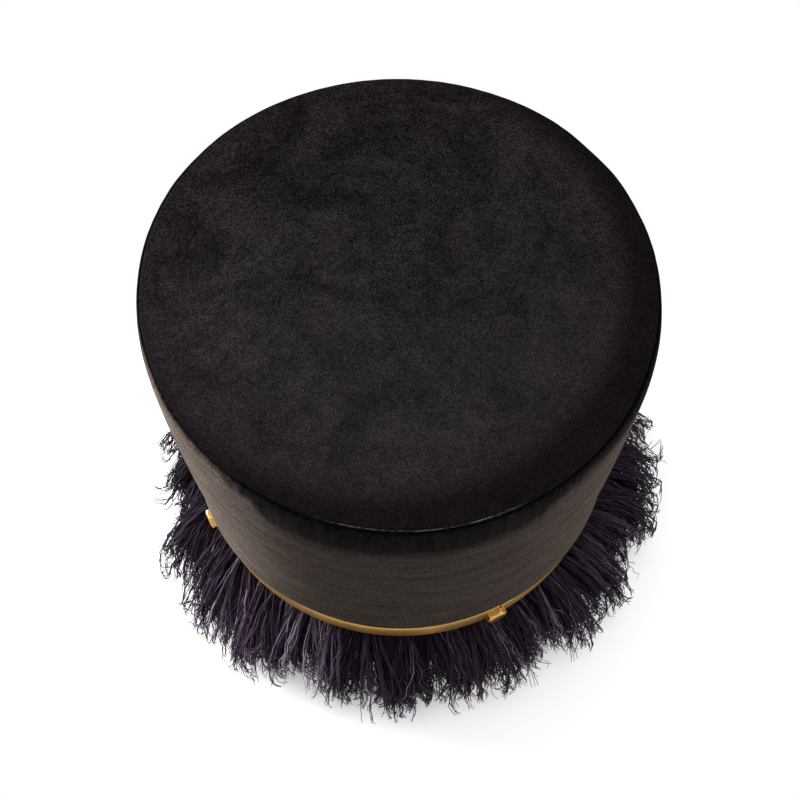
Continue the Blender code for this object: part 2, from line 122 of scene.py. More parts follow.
# How far above the floor the lowest barbs end: the least, and how much more the others may
FLOOR_GAP = 0.9 * MILLIMETRE
FLOOR_GAP_SPREAD = 1.8 * MILLIMETRE
# Longer and shorter stretches round the fringe: share, waves round it, and where it peaks, in degrees
SIDE_REACH = ((0.113, 3, -22.5), (0.10, 5, -153.0), (0.06, 7, 7.1), (0.064, 12, -14.1))
# The rows of locks from the top one down: how far below level they start, in degrees, and their length
ROW_DIPS = (8.0, 20.0, 33.0, 47.0, 60.0)
ROW_LENGTHS = (1.0, 0.99, 0.96, 0.90, 0.82)
ROW_STEP = 5.0 * MILLIMETRE
# Places along a barb: long steps on its straight part and short ones through its hook
MARKS = np.concatenate([np.linspace(0, 0.6, 7), np.linspace(0.6, 1.0, 10)[1:]])
# Forks part from their lock this many times as far as its other barbs, and end up to so far beside it
FORK_SPREAD = 7.0
FORK_REACH = 26.0 * MILLIMETRE

# Plain grained finishes: dark and light tone, scale and stretch of the grain, roughness and depth
GRAINED = {
    "birch_ply": ((0.42, 0.29, 0.17), (0.66, 0.50, 0.33), 14.0, (1.0, 9.0, 60.0), 0.6, 0.0002),
    "pine_batten": ((0.50, 0.36, 0.20), (0.72, 0.56, 0.36), 16.0, (9.0, 9.0, 1.0), 0.62, 0.0002),
    "black_fibreboard": ((0.010, 0.009, 0.009), (0.028, 0.026, 0.025), 240.0, (1.0, 1.0, 1.0), 0.8, 0.0003),
    "black_lining": ((0.010, 0.010, 0.011), (0.035, 0.035, 0.037), 900.0, (1.0, 1.0, 1.0), 0.9, 0.0002),
    "glide_plastic": ((0.012, 0.012, 0.012), (0.022, 0.022, 0.022), 700.0, (1.0, 1.0, 1.0), 0.45, 0.0001),
    "tape_weave": ((0.008, 0.007, 0.010), (0.02, 0.017, 0.024), 300.0, (1.0, 1.0, 4.0), 0.85, 0.0002),
}
STEEL_PIECES = ("stud_nut", "stud_washer", "seat_screw", "base_screw")

# Each lamp: where it stands, how wide its disc is, and its power in watts
LAMPS = {
    "lamp_above": ((-0.1, 0.2, 3.0), 2.4, 46.0),
    "lamp_left": ((-2.6, 1.10, 0.85), 1.6, 300.0),
    "lamp_right": ((2.8, 0.15, 0.95), 1.8, 72.0),
}
LAMP_TARGET = (0.0, 0.0, 0.25)
SENSOR_WIDTH = 36.0
# The floor turns to plain white between these distances from the pouf's middle
WHITE_FROM = 0.23
WHITE_BEYOND = 0.44
FLOOR_REACH = 8.0


def points_of(node):
    """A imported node's points, as an array in metres."""
    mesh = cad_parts[node].data
    found = np.empty(len(mesh.vertices) * 3, np.float32)
    mesh.vertices.foreach_get("co", found)
    return found.reshape(-1, 3).astype(float)


def radii_of(node):
    """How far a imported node's nearest and farthest points are from the drum's axis."""
    points = points_of(node)
    radii = np.hypot(points[:, 0], points[:, 1])
    return float(radii.min()), float(radii.max())


def four(name):
    """The names of the four like nodes of this name."""
    return [f"{name}_{number}" for number in range(1, 5)]


seam_height = (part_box("cover_top_panel")[0].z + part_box("cover_side_panel")[1].z) / 2
seam_radius = radii_of("cover_top_panel")[1]
crown_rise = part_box("cover_top_panel")[1].z - seam_height
cushion_radius = radii_of("seat_foam")[1]
cushion_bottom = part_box("seat_foam")[0].z
sleeve_inner = radii_of("side_foam")[0]
band_low, band_high = (corner.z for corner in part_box("rim_band"))
band_inner, band_outer = radii_of("rim_band")
wall_radius = radii_of("drum_wall")[1]
stud_height = sum(corner.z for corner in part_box("stud_bolt_1")) / 2
cloth_radius = radii_of("dust_cloth")[1]


# The lower limit of a setting that has none
NO_LIMIT = -3.402823e38


def colour_field(name, description, default):
    """A colour setting."""
    return FloatVectorProperty(
        name=name, description=description, default=default, subtype="COLOR", size=3, min=0.0, max=1.0
    )


def share_field(name, description, default, low=0.0):
    """A setting that is a share of one."""
    return FloatProperty(
        name=name, description=description, default=default, subtype="FACTOR", min=low, max=1.0
    )


def length_field(name, description, default, low=0.0):
    """A length setting, in metres."""
    return FloatProperty(name=name, description=description, default=default, unit="LENGTH", min=low)


def angle_field(name, description, degrees, low=0.0):
    """An angle setting."""
    return FloatProperty(
        name=name, description=description, default=math.radians(degrees), subtype="ANGLE", min=low
    )


def count_field(name, description, default, low=0):
    """A setting that counts pieces."""
    return IntProperty(name=name, description=description, default=default, min=low)


def level_field(name, description, default, low=0.0):
    """A setting without a unit."""
    return FloatProperty(name=name, description=description, default=default, min=low)


class CoverSettings(bpy.types.PropertyGroup):
    """Velvet cover: its colours, seam and padding."""

    pile_dark: colour_field("Pile, dark", "Velvet seen into the pile", (0.0015, 0.0011, 0.0014))
    pile_light: colour_field(
        "Pile, brushed", "Velvet where the pile lies towards the light", (0.0250, 0.0198, 0.0232)
    )
    pile_grey: colour_field("Pile, grey", "Brushed velvet in the greyer patches", (0.0250, 0.0218, 0.0222))
    # Crushed pile and painted shade: the dark velvet below the front of the seam, and in the thin shaded line
    # at the seam
    crushed_pile_and_shade: colour_field(
        "Pile, crushed", "Velvet pressed flat below the front of the seam", (0.0118, 0.0101, 0.0109)
    )
    # Painted highlight: the light line painted along the front of the seam's upper fold
    fold_light: colour_field(
        "Seam fold", "Velvet on the fold of the seam that faces the light", (0.0740, 0.0670, 0.0630)
    )
    # The side's own velvet with painted sheen: painted lighter than the top, for the pile's bloom where the
    # side is seen at a low angle
    side_pile_and_sheen: colour_field(
        "Side pile", "Velvet of the side, where the pile lies downwards", (0.0540, 0.0424, 0.0365)
    )
    sheen_tint: colour_field("Sheen", "Colour of the pile's bloom at a low angle", (0.80, 0.70, 0.58))
    sheen_weight: share_field("Sheen weight", "Strength of the bloom", 0.020)
    groove_depth: length_field("Seam groove", "How far the seam draws the cover in", 0.0034)
    lip: length_field("Seam lip", "Radius of the fabric's fold on each side of the seam", 0.0010, 0.0001)
    spread: length_field(
        "Rim spread", "How far the seat's rim stands out past the frame's seam line", 0.0002, NO_LIMIT
    )
    shoulder: length_field("Shoulder", "How far below the seam the side is at its fullest", 0.021, 0.001)
    overhang: length_field("Overhang", "How far the side swells out just above the band", 0.0032)
    overhang_height: length_field(
        "Overhang height", "How far above the band the swell is at its fullest", 0.010, 0.001
    )
    pucker: length_field("Pucker", "Depth of the small gathers along the seam", 0.0001)
    dent: length_field("Dent", "Depth of the small flat in the rim, to the right of the back", 0.0007)
    pressure: level_field("Padding pressure", "Pressure of the foam on the cover while it settles", 4.0)
    settle: length_field("Seat settling", "How far the top panel may move while it settles", 0.006)
    side_settle: length_field(
        "Side settling",
        "How far the side panel, drawn tight round the drum, may move while it settles",
        0.0012,
    )


class BrassSettings(bpy.types.PropertyGroup):
    """Brass band and bolt heads."""

    colour: colour_field("Brass", "Colour of the satin brass", (0.59, 0.340, 0.103))
    roughness: share_field("Roughness", "Roughness of the satin brass", 0.42)
    bolt_roughness: share_field(
        "Bolt roughness", "Roughness of the bolt heads, which are polished more than the band", 0.30
    )
    edge: length_field("Edge", "Radius of the band's eased edges", 0.0004)
    oval: length_field(
        "Ovality", "How far the band stands out at its front and in at its sides", 0.0009, NO_LIMIT
    )
    joint_gap: length_field("Joint", "Gap between the two ends of the band", 0.0010)
    joint_spring: length_field("Joint step", "How far one end of the band springs out at the joint", 0.0012)
    face_share: share_field(
        "Bolt face", "Share of a bolt head's flats that its face takes before the chamfer", 0.82, 0.1
    )
    chamfer_angle: angle_field("Chamfer", "Slope of the chamfer round a bolt head's face", 30)
    bolt_edge: length_field("Bolt edge", "Radius of the eased edges of a bolt head", 0.0005)


class FringeSettings(bpy.types.PropertyGroup):
    """Feather fringe: locks of barbs in overlapping rows, each closing to a wisp with a bent tip."""

    locks: count_field("Locks", "Locks in each slice of the fringe", 330, 1)
    barbs: count_field("Barbs", "Barbs in each lock that close to its tip", 3, 1)
    forks: count_field("Forks", "Barbs in each lock that leave it before its tip", 2)
    downs: count_field("Down", "Short dark locks under the others in each slice of the fringe", 110)
    strays: count_field("Strays", "Loose single barbs in each slice of the fringe", 24)
    length: length_field("Length", "Length of a full lock of the top row", 0.110, 0.01)
    thickness: length_field("Barb thickness", "Radius of a barb at its root", 0.00055, 0.00005)
    lock_width: length_field("Lock width", "How far a lock's barbs part where it is widest", 0.0034)
    frizz: length_field("Frizz", "Size of the small kinks along each barb", 0.0005)
    hook: angle_field("Hook", "How far the most bent tips turn", 130)
    dark: colour_field("Barbs, dark", "Colour of most barbs", (0.0055, 0.0030, 0.0061))
    middle: colour_field(
        "Barbs, aubergine", "Colour of the barbs between dark and pale", (0.0420, 0.0262, 0.0462)
    )
    pale: colour_field("Barbs, pale", "Colour of the palest barbs", (0.188, 0.146, 0.203))


class StageSettings(bpy.types.PropertyGroup):
    """Floor, lamps and camera."""

    focal_length: level_field("Focal length", "Focal length on a sensor 36 mm wide", 53.55, 1.0)
    camera_pitch: angle_field("Camera pitch", "How far below the horizon the camera looks", 65.29, NO_LIMIT)
    camera_roll: angle_field(
        "Camera roll", "Turn of the camera about its own axis, clockwise", 0.589, NO_LIMIT
    )
    camera_place: FloatVectorProperty(
        name="Camera place",
        description="Where the camera stands",
        subtype="TRANSLATION",
        unit="LENGTH",
        size=3,
        default=(-0.00065, -0.46587, 1.21098),
    )
    floor_white: share_field("Floor", "Albedo of the floor", 0.92)
    floor_glow: share_field(
        "Floor paper white",
        "Share of the floor under the pouf that the camera sees as plain white paper",
        0.25,
    )
    sky: level_field("Surroundings", "Level of the even light from all round", 0.62)


class Signal:
    """A node's output whose arithmetic adds Math nodes."""

    def __init__(self, graph, socket):
        self.graph = graph
        self.socket = socket

    def math(self, operation, first, second):
        return self.graph.node("ShaderNodeMath", {"operation": operation}, {0: first, 1: second})

    def __add__(self, other):
        return self.math("ADD", self, other)

    def __radd__(self, other):
        return self.math("ADD", other, self)

    def __sub__(self, other):
        return self.math("SUBTRACT", self, other)

    def __rsub__(self, other):
        return self.math("SUBTRACT", other, self)

    def __mul__(self, other):
        return self.math("MULTIPLY", self, other)

    def __rmul__(self, other):
        return self.math("MULTIPLY", other, self)


class Graph:
    """A node tree, with one method that adds any node to it."""

    def __init__(self, tree):
        self.tree = tree

    def feed(self, socket, value):
        """Links a socket to a signal, or sets it to a number, vector or colour."""
        if isinstance(value, Signal):
            self.tree.links.new(value.socket, socket)
            return
        if hasattr(value, "__len__") and len(value) == 3 and socket.type == "RGBA":
            value = (*value, 1.0)
        socket.default_value = value

    def node(self, kind, settings=None, inputs=None, output=0):
        """Adds a node with its settings and inputs, and gives one of its outputs."""
        made = self.tree.nodes.new(kind)
        for name, value in (settings or {}).items():
            if name == "stops":
                self.fill_ramp(made.color_ramp, value)
            else:
                setattr(made, name, value)
        for name, value in (inputs or {}).items():
            self.feed(made.inputs[name], value)
        return Signal(self, made.outputs[output])

    def fill_ramp(self, ramp, stops):
        while len(ramp.elements) < len(stops):
            ramp.elements.new(1.0)
        for element, (place, colour) in zip(ramp.elements, stops):
            element.position = place
            element.color = (*colour, 1.0) if hasattr(colour, "__len__") else (colour,) * 3 + (1.0,)

    def seen(self):
        """1 where the camera, metal or glass looks, and 0 for the light that falls on the pouf."""
        rays = ("Is Camera Ray", "Is Glossy Ray", "Is Transmission Ray")
        camera, glossy, glass = (self.node("ShaderNodeLightPath", output=ray) for ray in rays)
        return camera + glossy + glass

    def blend(self, share, first, second, output):
        """Shows two shaders, blended by a share, through the tree's output node."""
        blended = self.node("ShaderNodeMixShader", inputs={0: share, 1: first, 2: second})
        self.feed(self.tree.nodes[output].inputs["Surface"], blended)


class Finish(Graph):
    """A material with a Principled shader."""

    def __init__(self, name, constants=None):
        self.material = bpy.data.materials.new(name)
        self.material.use_nodes = True
        super().__init__(self.material.node_tree)
        self.shader = self.tree.nodes["Principled BSDF"]
        for socket, value in (constants or {}).items():
            self.set(socket, value)

    def set(self, socket, value):
        self.feed(self.shader.inputs[socket], value)

    def place(self):
        return self.node("ShaderNodeTexCoord", output="Object")

    def coordinate(self, axis, place=None):
        return self.node("ShaderNodeSeparateXYZ", inputs={"Vector": place or self.place()}, output=axis)

    def towards(self, angle):
        """How far a point lies in this direction from the drum's axis."""
        return self.coordinate("X") * math.cos(angle) + self.coordinate("Y") * math.sin(angle)

    def stretch(self, scale, place=None, shift=(0.0, 0.0, 0.0)):
        """The place, stretched by a scale and shifted."""
        place = place or self.place()
        return self.node("ShaderNodeMapping", inputs={"Vector": place, "Location": shift, "Scale": scale})

    def outward(self, shift=(0.0, 0.0, 0.0)):
        """How far a point is from the drum's axis, once it is shifted."""
        level = self.stretch((1.0, 1.0, 0.0), shift=shift)
        return self.node("ShaderNodeVectorMath", {"operation": "LENGTH"}, {0: level}, "Value")

    def noise(self, scale, detail=2.0, roughness=0.5, distortion=0.0, place=None):
        return self.node(
            "ShaderNodeTexNoise",
            inputs={
                "Vector": place or self.place(),
                "Scale": scale,
                "Detail": detail,
                "Roughness": roughness,
                "Distortion": distortion,
            },
        )

    def ramp(self, value, stops):
        return self.node("ShaderNodeValToRGB", {"stops": stops}, {"Fac": value})

    def contrast(self, value, low, high):
        """A straight step from 0 at the low value to 1 at the high one."""
        return self.ramp(value, [(low, 0.0), (high, 1.0)])

    def step(self, value, low, high):
        """A smooth step from 0 at the low value to 1 at the high one."""
        return self.node(
            "ShaderNodeMapRange",
            {"interpolation_type": "SMOOTHSTEP"},
            {"Value": value, "From Min": low, "From Max": high},
        )

    def mix(self, share, first, second, blend="MIX"):
        settings = {"data_type": "RGBA", "blend_type": blend}
        return self.node("ShaderNodeMix", settings, {0: share, 6: first, 7: second}, 2)

    def bump(self, height, distance, strength):
        inputs = {"Height": height, "Distance": distance, "Strength": strength}
        self.set("Normal", self.node("ShaderNodeBump", inputs=inputs))


def velvet(name, settings):
    """A velvet without gloss, with the pile's bloom."""
    return Finish(name, {
        "Sheen Weight": settings.sheen_weight,
        "Sheen Roughness": 0.3,
        "Sheen Tint": settings.sheen_tint,
        "Specular IOR Level": 0.0,
    })


def seat_velvet_finish(settings):
    """Cut pile: mottled where it leans and flecked by its grain, painted lighter towards the front, and dark
    along the front right rim with crushed pile and painted shade.
    """
    finish = velvet("velvet_seat", settings)
    patches = finish.noise(16.0, detail=5.0, roughness=0.62, distortion=0.9)
    strokes = finish.noise(62.0, detail=4.0, roughness=0.65, distortion=1.6)
    grain = finish.noise(980.0, roughness=0.9) * 0.8 + finish.noise(430.0) * 0.2
    lean = finish.contrast(patches * 0.60 + strokes * 0.40, 0.40, 0.62)
    speckle = finish.contrast(grain, 0.44, 0.58)
    greyer = finish.step(finish.outward() + 0.12 * patches, 0.265, 0.175)
    dark = finish.mix(greyer, settings.pile_dark, 0.9 * settings.pile_dark)
    light = finish.mix(greyer, settings.pile_light, settings.pile_grey)
    # Painted light: the top is painted lighter towards the front and darker towards the back, as the lamps
    # fall on it
    painted_light_slope = 0.95 * finish.towards(math.radians(-82))
    pile = finish.mix(lean * 0.15 + speckle * (0.43 + 0.45 * lean) + 0.02 + painted_light_slope, dark, light)
    # Crushed pile and painted shade: the velvet is painted dark along the front right rim, round a middle
    # shifted that way
    shift = (CRUSHED_AND_SHADED_SHIFT * math.cos(CRUSHED_AND_SHADED_TOWARDS), CRUSHED_AND_SHADED_SHIFT * math.sin(CRUSHED_AND_SHADED_TOWARDS), 0.0)
    reach = finish.outward(shift) + 0.03 * patches + 0.01 * strokes
    crushed_and_shaded = finish.mix(speckle, settings.pile_dark, 3.0 * settings.pile_dark)
    pile = finish.mix(finish.step(reach, 0.196, 0.222) * 0.8, pile, crushed_and_shaded)
    finish.set("Base Color", seam_light(finish, settings, pile))
    finish.set("Roughness", 0.8 + 0.15 * grain)
    finish.bump(speckle * 0.6 + strokes * 0.6, 0.35 * MILLIMETRE, 0.6)
    return finish.material


def seam_light(finish, settings, pile):
    """Painted highlight: along the front the seam's upper fold is painted light, in a thin and slightly
    broken line.
    """
    level = finish.coordinate("Z") - seam_height
    below = finish.step(level, 1.7 * MILLIMETRE, 1.4 * MILLIMETRE)
    front = finish.step(finish.towards(SEAM_FRONT + math.radians(2)), 0.183, 0.194)
    broken = finish.step(finish.noise(190.0, roughness=0.7), 0.43, 0.57)
    return finish.mix(below * front * (0.16 + 0.84 * broken), pile, settings.fold_light)


def side_velvet_finish(settings):
    """The side's pile lies downwards. Its colour holds painted sheen and, on the flanks, painted light; below
    the front of the seam it is dark and gathered, crushed pile with painted shade, under a thin line of
    painted shade at the seam.
    """
    finish = velvet("velvet_side", settings)
    level = finish.coordinate("Z") - seam_height
    forward = finish.towards(SEAM_FRONT)
    patches = finish.noise(20.0, detail=3.0, roughness=0.6, distortion=0.8)
    brushed = finish.noise(24.0, detail=3.0, roughness=0.6, place=finish.stretch((1.0, 1.0, 4.0)))
    grain = finish.noise(560.0, roughness=0.9)
    gathers = finish.contrast(finish.noise(200.0, place=finish.stretch((1.0, 1.0, 0.12))), 0.38, 0.62)
    speckle = finish.contrast(grain, 0.40, 0.62)
    streak = finish.contrast(brushed, 0.32, 0.68)

    # Painted light: each flank is painted lighter than the front, the left one most, where the lamps fall on
    # them
    near_half = finish.step(forward, -0.03, 0.09)
    right, left = (
        finish.step(finish.towards(flank), 0.125, 0.20) * near_half for flank in (RIGHT_FLANK, LEFT_FLANK)
    )
    lighter = finish.mix(right, 0.94 * settings.side_pile_and_sheen, 1.55 * settings.side_pile_and_sheen)
    lighter = finish.mix(left, lighter, 2.65 * settings.side_pile_and_sheen)
    share = patches * 0.20 + streak * 0.30 + speckle * 0.50
    pile = finish.mix(share, 0.15 * settings.side_pile_and_sheen, lighter)

    # Crushed pile and painted shade: the dark band below the seam reaches furthest down at the front, and
    # further at the right flank
    front = finish.step(forward - 0.008 * gathers + 0.03 * patches, 0.160, 0.206)
    reach = level + front * (44 * MILLIMETRE) + right * (20 * MILLIMETRE)
    reach = reach + (18 * MILLIMETRE) * patches + (4 * MILLIMETRE) * gathers
    near = finish.step(reach, -2 * MILLIMETRE, 24 * MILLIMETRE)
    low = 0.08 * settings.crushed_pile_and_shade
    crushed_and_shaded = finish.mix(gathers * 0.25 + speckle * 0.55, low, settings.crushed_pile_and_shade)
    # Painted shade: a thin dark line along the top of the side, in the seam's groove
    sewn = finish.step(level, -1.2 * MILLIMETRE, -0.5 * MILLIMETRE)
    finish.set("Base Color", finish.mix(sewn * 0.75, finish.mix(near, pile, crushed_and_shaded), low))
    finish.set("Roughness", 0.8 + 0.15 * grain)
    finish.bump(speckle * 0.4 + gathers * near * 0.7, 0.4 * MILLIMETRE, 0.6)
    return finish.material


def brass_finish(name, settings, roughness):
    """Satin brass, slightly toned, with fine wear lines."""
    finish = Finish(name, {"Metallic": 1.0})
    tone = finish.noise(38.0, detail=4.0, roughness=0.6)
    lines = finish.noise(55.0, place=finish.stretch((1.0, 1.0, 40.0)))
    finish.set("Base Color", finish.mix(tone, 0.93 * settings.colour, settings.colour))
    finish.set("Roughness", roughness - 0.03 + 0.06 * tone)
    finish.bump(lines, 0.01 * MILLIMETRE, 0.3)
    return finish.material


def feather_finish(settings):
    """Dyed barbs: the tone is each barb's own, with painted shade that darkens it towards its root."""
    finish = Finish("feather_barbs", {
        "Roughness": 0.6,
        "Specular IOR Level": 0.04,
        "Sheen Weight": 0.013,
        "Sheen Roughness": 0.4,
        "Sheen Tint": (0.75, 0.60, 0.85),
    })
    barb = finish.node("ShaderNodeUVMap", {"uv_map": "OFBake"})
    streaks = finish.noise(1.0, roughness=0.6, place=finish.stretch((90.0, 7.0, 1.0), barb))
    tone = finish.ramp(
        finish.coordinate("X", barb) + 0.7 * streaks - 0.35,
        [(0.0, settings.dark), (0.62, settings.middle), (1.0, settings.pale)],
    )
    # Painted shade: each barb is painted darker towards its root, where the fringe shades it
    painted_root_shade = finish.ramp(finish.coordinate("Y", barb), [(0.0, 0.35), (0.45, 0.9), (1.0, 1.0)])
    finish.set("Base Color", finish.mix(1.0, tone, painted_root_shade, "MULTIPLY"))
    return finish.material


def grained_finish(name):
    """A plain grained finish for boards, battens, cloth and moulded pieces."""
    dark, light, scale, stretch, roughness, depth = GRAINED[name]
    finish = Finish(name)
    grain = finish.noise(scale, detail=5.0, roughness=0.6, distortion=0.4, place=finish.stretch(stretch))
    finish.set("Base Color", finish.mix(grain, dark, light))
    finish.set("Roughness", roughness - 0.05 + 0.1 * grain)
    finish.bump(grain, depth, 0.5)
    return finish.material


def steel_finish():
    """Zinc-plated steel for nuts, washers and screws."""
    finish = Finish("zinc_plated_steel", {"Metallic": 1.0})
    grain = finish.noise(260.0, detail=3.0)
    finish.set("Base Color", finish.mix(grain, (0.46, 0.47, 0.48), (0.62, 0.63, 0.64)))
    finish.set("Roughness", 0.3 + 0.15 * grain)
    finish.bump(grain, 0.02 * MILLIMETRE, 0.4)
    return finish.material


def mesh_of(name, points, faces):
    """A smooth mesh of these points and faces."""
    mesh = bpy.data.meshes.new(name)
    mesh.from_pydata([tuple(point) for point in points], [], [tuple(face) for face in faces])
    mesh.polygons.foreach_set("use_smooth", [True] * len(mesh.polygons))
    mesh.update()
    return mesh


def shell_of(name, points, faces, crease=None):
    """A closed mesh facing outward, sharp where it bends by more than the crease, in degrees."""
    mesh = mesh_of(name, points, faces)
    bm = bmesh.new()
    bm.from_mesh(mesh)
    bmesh.ops.recalc_face_normals(bm, faces=bm.faces)
    bm.to_mesh(mesh)
    bm.free()
    if crease:
        mesh.set_sharp_from_angle(angle=math.radians(crease))
    return mesh


def linked(name, data):
    """A new object with this data, in the scene."""
    made = bpy.data.objects.new(name, data)
    bpy.context.scene.collection.objects.link(made)
    return made


def add_piece(name, mesh, material, replaced=(), place=None, smooth=False):
    """Adds a finished piece to the scene, on the pouf's body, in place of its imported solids."""
    made = linked(name, mesh)
    if place is not None:
        made.matrix_world = place
    mesh.materials.append(material)
    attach(made, BODY)
    if replaced:
        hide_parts(*replaced)
    if smooth:
        finer = made.modifiers.new("Smooth", "SUBSURF")
        finer.levels = finer.render_levels = 1
    return made


def polar(radius, angle, height):
    """Points at these distances and angles round the drum's axis, and at these heights."""
    radius, angle, height = np.broadcast_arrays(radius, angle, height)
    return np.stack([radius * np.cos(angle), radius * np.sin(angle), height], -1)


def grid_quads(rows, columns, close_rows=False, close_columns=False):
    """Quads over a grid of points, closed where its last row or column meets its first."""
    index = np.arange(rows * columns).reshape(rows, columns)
    if close_rows:
        index = np.vstack([index, index[:1]])
    if close_columns:
        index = np.hstack([index, index[:, :1]])
    return np.stack([index[:-1, :-1], index[1:, :-1], index[1:, 1:], index[:-1, 1:]], -1).reshape(-1, 4)


def ring_quads(first, second):
    """Quads between two closed rings of points."""
    return np.stack([first, second, np.roll(second, -1), np.roll(first, -1)], 1)


def disc_grid(rings):
    """Concentric rings with eight more points each, as shares of the radius and angles, and their quads."""
    size = 2 * rings + 1
    steps = np.arange(size) - rings
    column, row = np.meshgrid(steps, steps, indexing="ij")
    ring = np.maximum(np.abs(column), np.abs(row))
    angle = np.zeros((size, size))
    for share, (a, b) in ((0, (column, row)), (2, (row, -column)), (4, (-column, -row)), (6, (-row, column))):
        side = (a == ring) & (ring > 0)
        angle[side] = (share + b[side] / ring[side]) * math.pi / 4
    return ring.ravel() / rings, angle.ravel(), grid_quads(size, size)


def rim_order(share, angle):
    """The indices of a disc grid's outer points, in order of angle from zero, and their angles."""
    outer = np.flatnonzero(share == 1.0)
    turns = np.mod(angle[outer], math.tau)
    return outer[np.argsort(turns)], np.sort(turns)


def waves(angle, rng, count, low, high):
    """A smooth closed wave round the rim, of unit size."""
    total = np.zeros_like(angle)
    for _ in range(count):
        total += np.sin(rng.integers(low, high) * angle + rng.uniform(0, math.tau))
    return total / math.sqrt(count)


def swells(angle, parts):
    """The sum of parts that are each a depth, a number of waves round the axis and a peak in degrees."""
    return sum(depth * np.cos(count * (angle - math.radians(peak))) for depth, count, peak in parts)


def dent_at(angle, height, settings):
    """How far a small flat in the rim draws the cover in at this angle and height."""
    around = np.mod(angle - DENT_TOWARDS + math.pi, math.tau) - math.pi
    down = (seam_height - height) / DENT_REACH
    return settings.dent * np.exp(-((around / DENT_WIDTH) ** 2)) * np.exp(-(down**2))


def seam_draw(angle, settings):
    """The small gathers along the seam: how far they draw the fabric in."""
    rng = np.random.default_rng(SEEDS["gathers"])
    return settings.pucker * (waves(angle, rng, 7, 40, 110) + 1.5 * waves(angle, rng, 4, 9, 19))


def rim_line(angle, settings):
    """The radius of the seat's rim at this angle."""
    out = seam_radius + settings.spread + swells(angle, RIM_UNEVEN) - seam_draw(angle, settings)
    return out - dent_at(angle, seam_height, settings)


def settle(points, faces, sewn, settings, limit):
    """Where a panel's points come to rest as cloth over its padding, held where it is sewn.

    No point moves further than the limit.
    """
    scene = bpy.context.scene
    panel = linked("settling_panel", mesh_of("settling_panel", points, faces))
    seam = panel.vertex_groups.new(name="sewn")
    seam.add([int(index) for index in sewn], 1.0, "REPLACE")
    cloth = panel.modifiers.new("Settle", "CLOTH").settings
    for name, value in CLOTH.items():
        setattr(cloth, name, value)
    cloth.vertex_group_mass = seam.name
    cloth.use_pressure = True
    cloth.uniform_pressure_force = settings.pressure
    cloth.effector_weights.gravity = 0.0
    for number in range(1, SETTLE_FRAMES + 1):
        scene.frame_set(number)
    settled = panel.evaluated_get(bpy.context.evaluated_depsgraph_get())
    moved = np.array([vertex.co for vertex in settled.data.vertices]) - points
    scene.frame_set(1)
    bpy.data.objects.remove(panel)
    far = np.linalg.norm(moved, axis=1, keepdims=True)
    return points + moved * np.minimum(1.0, limit / np.maximum(far, 1e-9))


def build_seat(settings, material):
    """The crowned seat cushion, drawn in at its seam."""
    share, angle, quads = disc_grid(DISC_RINGS)
    out = 0.45 * share + 0.55 * np.sin(share * math.pi / 2)
    lip = settings.lip
    rim_height = seam_height + 2.0 * lip
    slack = waves(angle, np.random.default_rng(SEEDS["seat"]), 3, 3, 9)
    height = rim_height + (seam_height + crown_rise - rim_height) * np.sqrt(1 - out**2)
    height = height + 0.3 * MILLIMETRE * slack * share**3
    top = polar((rim_line(angle, settings) - 1.6 * lip) * out, angle, height)
    rim, turns = rim_order(share, angle)
    top = settle(top, quads, rim, settings, settings.settle)
    edge = rim_line(turns, settings)

    # Out from the rim and up from the seam, in lips: over the fold and down into the groove
    fold = [(-0.75, 1.4), (-0.35, 0.6), (-0.40, -0.4), (-0.85, -1.1)]
    low = seam_height - 1.5 * lip
    rows = [(edge + across * lip, seam_height + up * lip) for across, up in fold]
    rows.append((edge - settings.groove_depth, low))
    rows += [(cushion_radius, low), (cushion_radius, cushion_bottom + lip)]
    points, faces, last = [top], [quads], rim
    for number, (radius, level) in enumerate(rows):
        now = len(top) + number * AROUND + np.arange(AROUND)
        points.append(polar(radius, turns, level))
        faces.append(ring_quads(last, now))
        last = now
    count = len(top) + len(rows) * AROUND
    points.append(polar(out * (cushion_radius - lip), angle, cushion_bottom))
    faces += [count + quads[:, ::-1], ring_quads(last, count + rim)]
    mesh = shell_of("seat_cushion", np.concatenate(points), np.concatenate(faces))
    made = add_piece("seat_cushion", mesh, material, ("cover_top_panel", "seat_foam"), smooth=True)


def side_line(top):
    """The side panel's outer line from this height down, as heights and radii of a smooth curve."""
    points = points_of("cover_side_panel")
    found = np.hypot(points[:, 0], points[:, 1])
    heights = np.unique(np.round(points[:, 2], 4))[::-1]
    radii = np.array([found[np.abs(points[:, 2] - height) < 0.1 * MILLIMETRE].max() for height in heights])
    fullest = int(radii.argmax())
    heights, radii = heights[fullest:], radii[fullest:]
    slopes = np.gradient(radii, heights)
    slopes[0] = 0.0
    at = np.linspace(top, heights[-1], SIDE_ROWS)
    step = np.clip(np.searchsorted(-heights, -at, side="right") - 1, 0, len(heights) - 2)
    width = heights[step + 1] - heights[step]
    t = np.clip((at - heights[step]) / width, 0.0, 1.0)
    line = (
        (2 * t**3 - 3 * t**2 + 1) * radii[step]
        + (t**3 - 2 * t**2 + t) * width * slopes[step]
        + (3 * t**2 - 2 * t**3) * radii[step + 1]
        + (t**3 - t**2) * width * slopes[step + 1]
    )
    return at, line


